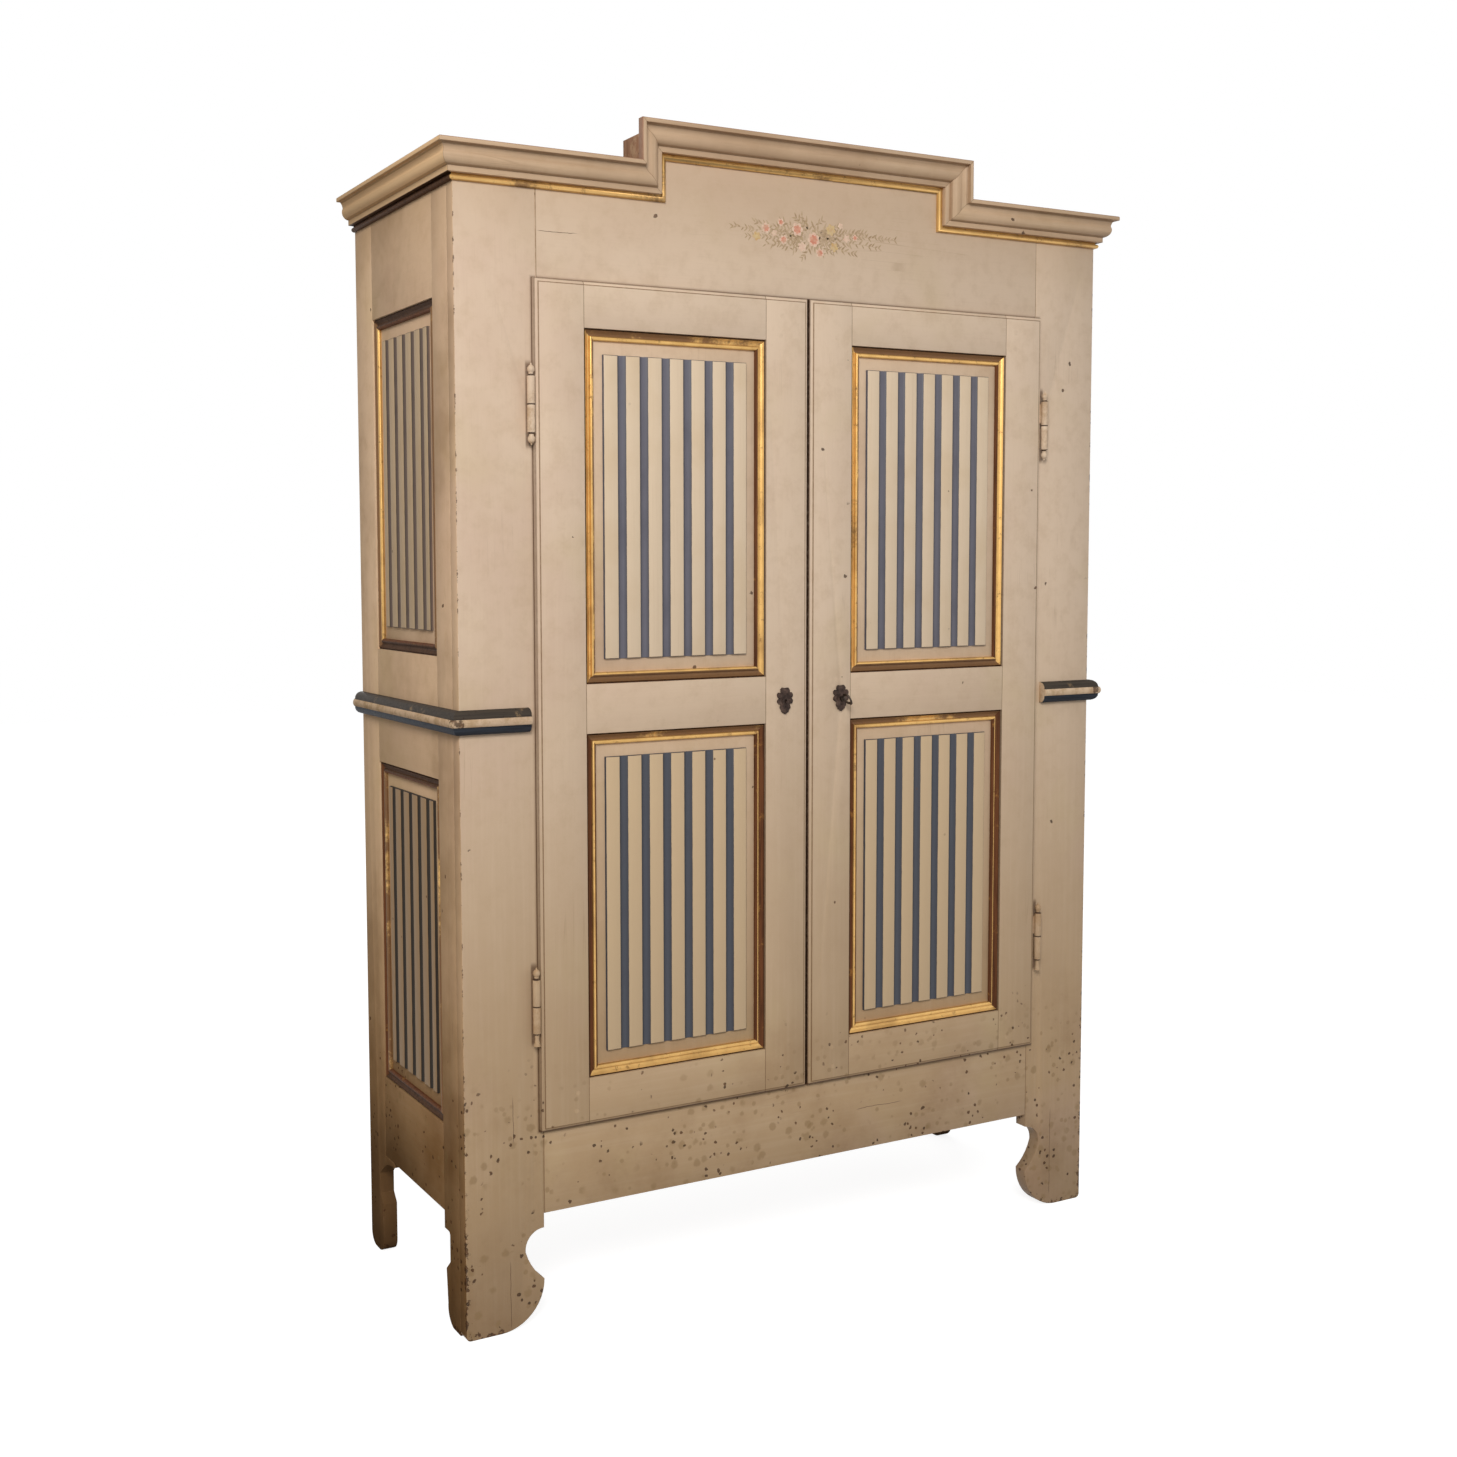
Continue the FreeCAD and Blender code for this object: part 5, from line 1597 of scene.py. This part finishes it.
@dataclass
class Door:
    """One door: frame, panels, mouldings, pegs and the hinges' upper halves."""

    side: Side
    lows: tuple[float, float] = (437 * MM, 1139 * MM)
    panel_ease: float = 0.3 * MM
    peg_r: float = 4.5 * MM
    peg_long: float = 1 * MM
    peg_proud: float = 0.25 * MM
    peg_ease: float = 0.25 * MM
    peg_rows: tuple[float, ...] = (1799 * MM, 1767 * MM, 1130 * MM, 1064 * MM, 415 * MM, 380 * MM)
    peg_columns: tuple[float, float] = (490 * MM, 60 * MM)
    peg_sway: tuple[float, float] = (5 * MM, 4 * MM)

    def build(self, panels: PanelSet) -> None:
        """Dress the door.

        Args:
            panels: Models of the door's fluted board and moulding.
        """
        body = "door_" + self.side.word
        Board(body + "_stiles", body, ("door_upright", "door_edge")).build()
        Board(body + "_rails", body, ("door_across", "door_edge")).build()
        Board(body + "_panels", body, ("field",), ease=self.panel_ease).build()
        left = -STILE_OUTER if self.side is Side.LEFT else STILE_INNER
        panels.place(Matrix.Translation((left, FIELD_Y, 0.0)), self.lows, body, body + "_{}",
                     "flutes_front", (LOWER_GILT, UPPER_GILT))
        self.pegs(body)
        HingeHalves(body + "_hinge_halves", body).build()

    def pegs(self, body: str) -> None:
        """Ends of the pegs that pin the joints, a hair proud of the paint and not quite in line.

        Args:
            body: The door's body.
        """
        bpy.ops.mesh.primitive_cylinder_add(vertices=14, radius=self.peg_r, depth=self.peg_long)
        model = Shop.fresh("peg_model")
        Shop.edit(model, "EDGE")
        Shop.pick(model, "edges", lambda e: all(v.co.z > 0 for v in e.verts))
        bpy.ops.mesh.bevel(offset=self.peg_ease, segments=2, affect="EDGES")
        Shop.shut()
        rng = random.Random(PEG_SEEDS[self.side])
        sway_x, sway_z = self.peg_sway
        heads = []
        for z in self.peg_rows:
            for x in self.peg_columns:
                spot = Vector((self.side.value * (x + rng.uniform(-sway_x, sway_x)),
                               DOOR_Y + self.peg_proud, z + rng.uniform(-sway_z, sway_z)))
                turn = STAND @ Matrix.Rotation(rng.uniform(0, 6), 4, "Z")
                heads.append(Shop.twin(model, "peg", Matrix.Translation(spot) @ turn))
        Shop.drop(model)
        pegs = Shop.joined(heads, body + "_pegs")
        Shop.coat(pegs, "door_upright")
        Shop.hang(pegs, body, "cream_paint")


@dataclass
class RosePlate:
    """Cast keyhole plate: a rose of domed lobes above, a drop with beads below the keyhole.

    beads are (x, z, radius) from the rose's middle. A blind plate has metal behind its keyhole.
    """

    node: str
    body: str
    x: float
    blind: bool = False
    thick: float = 2.2 * MM
    ease: float = 0.5 * MM
    rose_z: float = 1097 * MM
    ring_r: float = 12.7 * MM
    lobe_r: float = 5.5 * MM
    lobes: int = 8
    inner_r: float = 8.4 * MM
    inner_lobe_r: float = 3.3 * MM
    inner: int = 5
    dome_rise: float = 0.45
    drop_from: float = 14 * MM
    drop_share: float = 0.62
    lift: float = 1.2
    hole_low: float = 9 * MM
    hole_half: tuple[float, float] = (5.5 * MM, 9 * MM)
    ground_proud: float = 0.2 * MM
    ground_deep: float = 0.6 * MM
    beads: tuple[tuple[float, float, float], ...] = (
        (0.0, 14.6 * MM, 5.4 * MM), (-6.4 * MM, -16.0 * MM, 5.4 * MM),
        (6.4 * MM, -16.0 * MM, 5.4 * MM), (-3.8 * MM, -21.6 * MM, 5.0 * MM),
        (3.8 * MM, -21.6 * MM, 5.0 * MM), (0.0, -24.8 * MM, 4.6 * MM))

    def dome(self, name: str) -> bpy.types.Object:
        """Model one domed lobe with a rim, its foot at z = 0 and radius 1.

        Args:
            name: The piece's name.

        Returns:
            The model.
        """
        bpy.ops.mesh.primitive_cylinder_add(vertices=12, radius=1.0, depth=0.5)
        piece = Shop.fresh(name)
        Shop.edit(piece, "FACE")
        Shop.pick(piece, "faces", lambda f: f.normal.z > 0.9)
        rim, groove, foot = (0.08, 0.08), (0.14, -0.06), (0.1, 0.06)
        shoulder, crown = (0.22, 0.2), (0.24, 0.1)
        for thickness, depth in (rim, groove, foot, shoulder, crown):
            bpy.ops.mesh.inset(thickness=thickness, depth=depth)
        Shop.shut()
        Shop.smooth(piece, 50.0)
        return piece

    def lobe_places(self) -> list[tuple[float, float, float]]:
        """Where the domed lobes go.

        Returns:
            Their (x, z, radius) from the rose's middle.
        """
        spots = [(self.ring_r, (i + 0.5) / self.lobes, self.lobe_r) for i in range(self.lobes)]
        spots += [(self.inner_r, (i + 0.25) / self.inner, self.inner_lobe_r)
                  for i in range(self.inner)]
        places = []
        for radius, share, size in spots:
            x, z = radius * math.cos(2 * math.pi * share), radius * math.sin(2 * math.pi * share)
            places.append((x, z * self.lift if z > 0 else z, size))
        return places + list(self.beads)

    def build(self) -> None:
        """Build the plate: the CAD plate with a shorter drop and a taller rose, and its lobes."""
        base = Shop.copied(self.node, self.node + "_plate")
        Shop.coat(base, "bronze")
        fold = self.rose_z - self.drop_from
        for vertex in base.data.vertices:
            vertex.co.z += max(0.0, fold - vertex.co.z) * (1 - self.drop_share) \
                + max(0.0, vertex.co.z - self.rose_z) * (self.lift - 1)
        Shop.eased(base, self.ease, angle=40.0, smooth=40.0)
        model = self.dome("rose_dome")
        parts = [base]
        for x, z, size in self.lobe_places():
            move = Matrix.Translation((self.x + x, DOOR_Y - self.thick, self.rose_z + z)) \
                @ STAND @ Matrix.Diagonal((size, size, size * self.dome_rise, 1.0))
            parts.append(Shop.twin(model, "lobe", move))
        if self.blind:
            spot = (self.x, DOOR_Y - self.ground_proud, self.rose_z - self.hole_low)
            move = Matrix.Translation(spot) @ STAND \
                @ Matrix.Diagonal((*self.hole_half, self.ground_deep, 1.0))
            parts.append(Shop.twin(model, "ground", move))
        Shop.drop(model)
        for part in parts[1:]:
            Shop.coat(part, "bronze")
        plate = Shop.joined(parts[::-1], self.node + "_dressed")
        Shop.hang(plate, self.body, "dark_bronze", [self.node])


@dataclass
class Ironwork:
    """Hinges' lower halves, lock, key and door bolts."""

    plate_left: float = -54 * MM
    plate_right: float = 72 * MM
    key_z: float = 1092 * MM
    key_turned: float = math.radians(30)
    key_ease: float = 0.2 * MM
    iron_ease: float = 0.4 * MM
    bow_from: float = -254 * MM
    bow_ramp: float = 7 * MM
    bow_more: float = 0.7

    def build(self) -> None:
        """Dress the ironwork and both keyhole plates."""
        for side in Side:
            HingeHalves("case_hinge_halves_" + side.word, "case").build()
        RosePlate("door_left_escutcheon", "door_left", self.plate_left, blind=True).build()
        RosePlate("door_right_escutcheon", "door_right", self.plate_right).build()
        for node, body in (("lock_case", "door_right"), ("lock_bolt", "lock_bolt_body"),
                           ("lock_keeper", "door_left"), ("bolt_staples", "door_left"),
                           ("top_bolt", "top_bolt_body"), ("bottom_bolt", "bottom_bolt_body")):
            Board(node, body, ("iron",), "iron", self.iron_ease).build()
        self.key()

    def key(self) -> None:
        """Key whose wire bow is drawn out wide and flat, as the photograph shows it."""
        key = Shop.copied("key", "key_dressed")
        Shop.coat(key, "steel")
        axis = Vector((self.plate_right, 0.0, self.key_z))
        across = Vector((math.sin(self.key_turned), 0.0, -math.cos(self.key_turned)))
        for vertex in key.data.vertices:
            ramp = (self.bow_from - vertex.co.y) / self.bow_ramp
            drawn = min(1.0, max(0.0, ramp)) * self.bow_more
            vertex.co += across * (vertex.co - axis).dot(across) * drawn
        Shop.eased(key, self.key_ease, smooth=60.0)
        Shop.hang(key, "key_body", "iron", ["key"])


@dataclass(frozen=True)
class Bloom:
    """One small bloom: its place from the spray's centre and its size in mm, petals and finish."""

    x: float
    z: float
    size: float
    petals: int
    finish: str


@dataclass
class FlowerSpray:
    """Plain traditional spray of leafy twigs and small blooms, painted thinly on the frieze.

    twigs are (direction in degrees, length in mm). Each stroke lies a layer higher than the last
    and after eleven starts again, so that crossing strokes don't share a plane.
    """

    centre: tuple[float, float] = (6 * MM, 1948 * MM)
    seed: int = 5
    laid: int = 0
    layers: int = 11
    layer: float = 0.008 * MM
    sunk: float = 0.05 * MM
    stem_coat: float = 0.1 * MM
    outer_coat: float = 0.2 * MM
    inner_coat: float = 0.3 * MM
    root: tuple[float, float] = (7 * MM, 5 * MM)
    pitch: float = 7.5 * MM
    stem: float = 0.7 * MM
    leaf_long: float = 15 * MM
    leaf_less: float = 5.5 * MM
    leaf_slim: float = 0.34
    twigs: tuple[tuple[int, int], ...] = (
        (4, 188), (-6, 150), (14, 120), (-17, 98), (30, 62), (-36, 56),
        (177, 162), (186, 128), (168, 118), (197, 92), (150, 66), (214, 58),
        (64, 42), (92, 40), (118, 42), (-62, 40), (-92, 42), (-122, 38))
    blooms: tuple[Bloom, ...] = (
        Bloom(-26, 12, 13.0, 6, "rose"), Bloom(10, -4, 14.0, 7, "rose"),
        Bloom(24, -27, 9.5, 6, "rose"), Bloom(-94, 9, 10.0, 6, "rose"),
        Bloom(-62, 22, 7.5, 5, "rose"), Bloom(-56, -9, 9.0, 6, "rose"),
        Bloom(48, 17, 11.0, 6, "ochre"), Bloom(56, -14, 9.0, 5, "ochre"),
        Bloom(-114, -7, 9.0, 5, "ochre"), Bloom(-15, -19, 9.0, 6, "petal"),
        Bloom(84, 4, 8.0, 5, "petal"), Bloom(103, 7, 6.5, 5, "rose"),
        Bloom(70, 26, 6.0, 5, "petal"), Bloom(-76, 1, 6.0, 5, "petal"))

    def petal(self, name: str, corners: int, pinch: float) -> bpy.types.Object:
        """Model a flat rounded shape that narrows to its tip, 1 long from the origin along X.

        Args:
            name: The piece's name.
            corners: Points round it.
            pinch: How much it narrows.

        Returns:
            The model.
        """
        bpy.ops.mesh.primitive_circle_add(vertices=corners, radius=0.5, fill_type="NGON")
        piece = Shop.fresh(name)
        Shop.edit(piece, "FACE")
        bpy.ops.mesh.select_all(action="SELECT")
        bpy.ops.mesh.extrude_region_move(TRANSFORM_OT_translate={"value": (0.0, 0.0, 1.0)})
        bpy.ops.mesh.select_all(action="SELECT")
        bpy.ops.mesh.normals_make_consistent(inside=False)
        Shop.shut()
        for vertex in piece.data.vertices:
            along = vertex.co.x + 0.5
            vertex.co.x = along
            vertex.co.y *= 1 - pinch * along * along
        return piece

    def lay(self, model: bpy.types.Object, place: Sequence[float], turn: float, long: float,
            wide: float, coat: float) -> bpy.types.Object:
        """Put a copy on the frieze.

        Args:
            model: The shape.
            place: Where its root goes, as (x, z).
            turn: Its direction in radians, from +X towards +Z.
            long: Its length.
            wide: Its width.
            coat: How proud of the board it is.

        Returns:
            The copy.
        """
        self.laid += 1
        proud = coat + self.sunk + self.laid % self.layers * self.layer
        move = Matrix.Translation((place[0], FRONT_Y + self.sunk, place[1])) \
            @ Matrix.Rotation(-turn, 4, "Y") @ STAND @ Matrix.Diagonal((long, wide, proud, 1.0))
        return Shop.twin(model, "stroke", move)

    def twig(self, leaf: bpy.types.Object, way: float, length: float,
             rng: random.Random) -> list[bpy.types.Object]:
        """Lay one curved twig with leaves on both sides.

        Args:
            leaf: Model of a leaf.
            way: Its direction at the root, in radians.
            length: Its length.
            rng: Source of its small differences.

        Returns:
            The leaves and pieces of stem.
        """
        strokes = []
        x = self.centre[0] + self.root[0] * math.cos(way)
        z = self.centre[1] + self.root[1] * math.sin(way)
        level = 0.0 if math.cos(way) > 0 else math.pi
        lean = math.atan2(math.sin(way - level), math.cos(way - level))
        for i in range(int(length / self.pitch)):
            share = i * self.pitch / length
            aim = level + lean * (1 - 0.75 * share) + rng.uniform(-0.12, 0.12)
            strokes.append(self.lay(leaf, (x, z), aim, self.pitch * 1.2, self.stem, self.stem_coat))
            x, z = x + self.pitch * math.cos(aim), z + self.pitch * math.sin(aim)
            long = (self.leaf_long - self.leaf_less * share) * rng.uniform(0.75, 1.1)
            side = 1 if i % 2 else -1
            for sign in (side, -side) if rng.random() < 0.6 else (side,):
                turn = aim + sign * rng.uniform(0.5, 0.95)
                strokes.append(self.lay(leaf, (x, z), turn, long, long * self.leaf_slim,
                                        self.stem_coat))
        return strokes

    def build(self) -> None:
        """Lay out the spray."""
        rng = random.Random(self.seed)
        leaf = self.petal("leaf_model", 10, 0.85)
        petal = self.petal("petal_model", 8, 0.1)
        groups: dict[str, list[bpy.types.Object]] = {
            finish: [] for finish in ("leaf", "rose", "petal", "ochre")}
        for degrees, length in self.twigs:
            groups["leaf"] += self.twig(leaf, math.radians(degrees), length * MM, rng)
        for bloom in self.blooms:
            at = (self.centre[0] + bloom.x * MM, self.centre[1] + bloom.z * MM)
            size = bloom.size * MM
            rim = "petal" if bloom.finish == "rose" else bloom.finish
            start = rng.uniform(0, 6)
            for k in range(bloom.petals):
                turn = start + k * 2 * math.pi / bloom.petals
                groups[rim].append(self.lay(petal, at, turn, size, size * 0.8, self.outer_coat))
                groups[bloom.finish].append(self.lay(petal, at, turn + 0.4, size * 0.66, size * 0.5,
                                                     self.inner_coat))
        Shop.drop(leaf, petal)
        for finish, strokes in groups.items():
            piece = Shop.joined(strokes, "frieze_spray_" + finish)
            Shop.coat(piece, finish)
            Shop.hang(piece, "case", "cream_paint")


@dataclass
class Studio:
    """Pale floor, soft lamps and a camera at the photograph's view.

    The camera's focal length and middle are in pixels of the photograph, and its angles in degrees.
    """

    camera_at: tuple[float, float, float] = (-1.75594, -2.84844, 1.35534)
    yaw: float = 27.667
    pitch: float = 4.315
    roll: float = -0.305
    focal: float = 1669.9
    middle: tuple[float, float] = (624.7, 686.1)
    image: float = 1457.0
    sensor: float = 36.0
    aim: tuple[float, float, float] = (0.0, 0.0, 1.05)
    floor_size: float = 24.0
    floor_tone: tuple[float, float, float, float] = (0.42, 0.42, 0.42, 1.0)
    floor_glow: float = 0.86
    sky_light: float = 0.36
    white: tuple[float, float, float, float] = (1.0, 1.0, 1.0, 1.0)

    def camera(self) -> None:
        """Put the camera where the photograph was taken."""
        data = bpy.data.cameras.new("photo_camera")
        data.sensor_width = self.sensor
        data.lens = self.sensor * self.focal / self.image
        data.shift_x = (self.image / 2 - self.middle[0]) / self.image
        data.shift_y = (self.middle[1] - self.image / 2) / self.image
        eye = bpy.data.objects.new("photo_camera", data)
        bpy.context.scene.collection.objects.link(eye)
        eye.matrix_world = (Matrix.Translation(self.camera_at)
                            @ Matrix.Rotation(math.radians(-self.yaw), 4, "Z")
                            @ Matrix.Rotation(math.radians(90 - self.pitch), 4, "X")
                            @ Matrix.Rotation(math.radians(self.roll), 4, "Z"))
        bpy.context.scene.camera = eye

    def lamp(self, name: str, at: Sequence[float], size: float, power: float,
             colour: Colour = (1.0, 1.0, 1.0)) -> None:
        """Add one soft lamp aimed at the wardrobe.

        Args:
            name: The lamp's name.
            at: Where it is.
            size: Its width.
            power: Its power in watts.
            colour: Its colour.
        """
        data = bpy.data.lights.new(name, "AREA")
        data.size = size
        data.energy = power
        data.color = colour
        lamp = bpy.data.objects.new(name, data)
        bpy.context.scene.collection.objects.link(lamp)
        turn = (Vector(self.aim) - Vector(at)).to_track_quat("-Z", "Y")
        lamp.matrix_world = Matrix.Translation(at) @ turn.to_matrix().to_4x4()

    def floor(self) -> None:
        """Lay a pale floor that keeps the wardrobe's shadow and looks white to the camera."""
        bpy.ops.mesh.primitive_plane_add(size=self.floor_size)
        floor = bpy.context.active_object
        floor.name = "studio_floor"
        material = bpy.data.materials.new("pale_floor")
        material.use_nodes = True
        layout = Layout(material.node_tree)
        shade = layout.node("ShaderNodeBsdfDiffuse", {}, {"Color": self.floor_tone})
        glow = layout.node("ShaderNodeEmission", {},
                           {"Color": self.white, "Strength": layout.seen() * self.floor_glow})
        both = layout.node("ShaderNodeAddShader", {}, {0: shade, 1: glow})
        layout.add("ShaderNodeOutputMaterial", {}, {0: both})
        floor.data.materials.append(material)

    def sky(self) -> None:
        """Light the room evenly, and show white behind the wardrobe."""
        world = bpy.data.worlds.new("studio_world")
        bpy.context.scene.world = world
        world.use_nodes = True
        layout = Layout(world.node_tree)
        strength = layout.node("ShaderNodeMapRange", {},
                               {"Value": layout.seen(), "To Min": self.sky_light, "To Max": 1.0})
        back = layout.node("ShaderNodeBackground", {}, {"Color": self.white, "Strength": strength})
        layout.add("ShaderNodeOutputWorld", {}, {0: back})

    def build(self) -> None:
        """Set up the studio."""
        bpy.context.scene.view_settings.view_transform = "Standard"
        self.camera()
        self.floor()
        self.sky()
        self.lamp("key_lamp", at=(-2.6, -3.9, 3.5), size=1.5, power=148.0,
                  colour=(1.0, 0.985, 0.965))
        self.lamp("fill_lamp", at=(3.4, -3.6, 2.0), size=2.4, power=16.0)
        self.lamp("back_lamp", at=(1.5, 4.5, 3.2), size=3.0, power=60.0)


def main() -> None:
    """Build the wardrobe and its studio."""
    logging.basicConfig(level=logging.INFO, format="%(name)s %(message)s")
    Studio().build()
    Case().build()
    Cornice().build()
    Belt().build()
    panels = PanelSet(FlutedBoard(292 * MM), PanelMoulding(STILE_OUTER - STILE_INNER))
    panels.build("door")
    for side in Side:
        Door(side).build(panels)
    panels.clear()
    Ironwork().build()
    FlowerSpray().build()


if __name__ == "__main__":
    main()
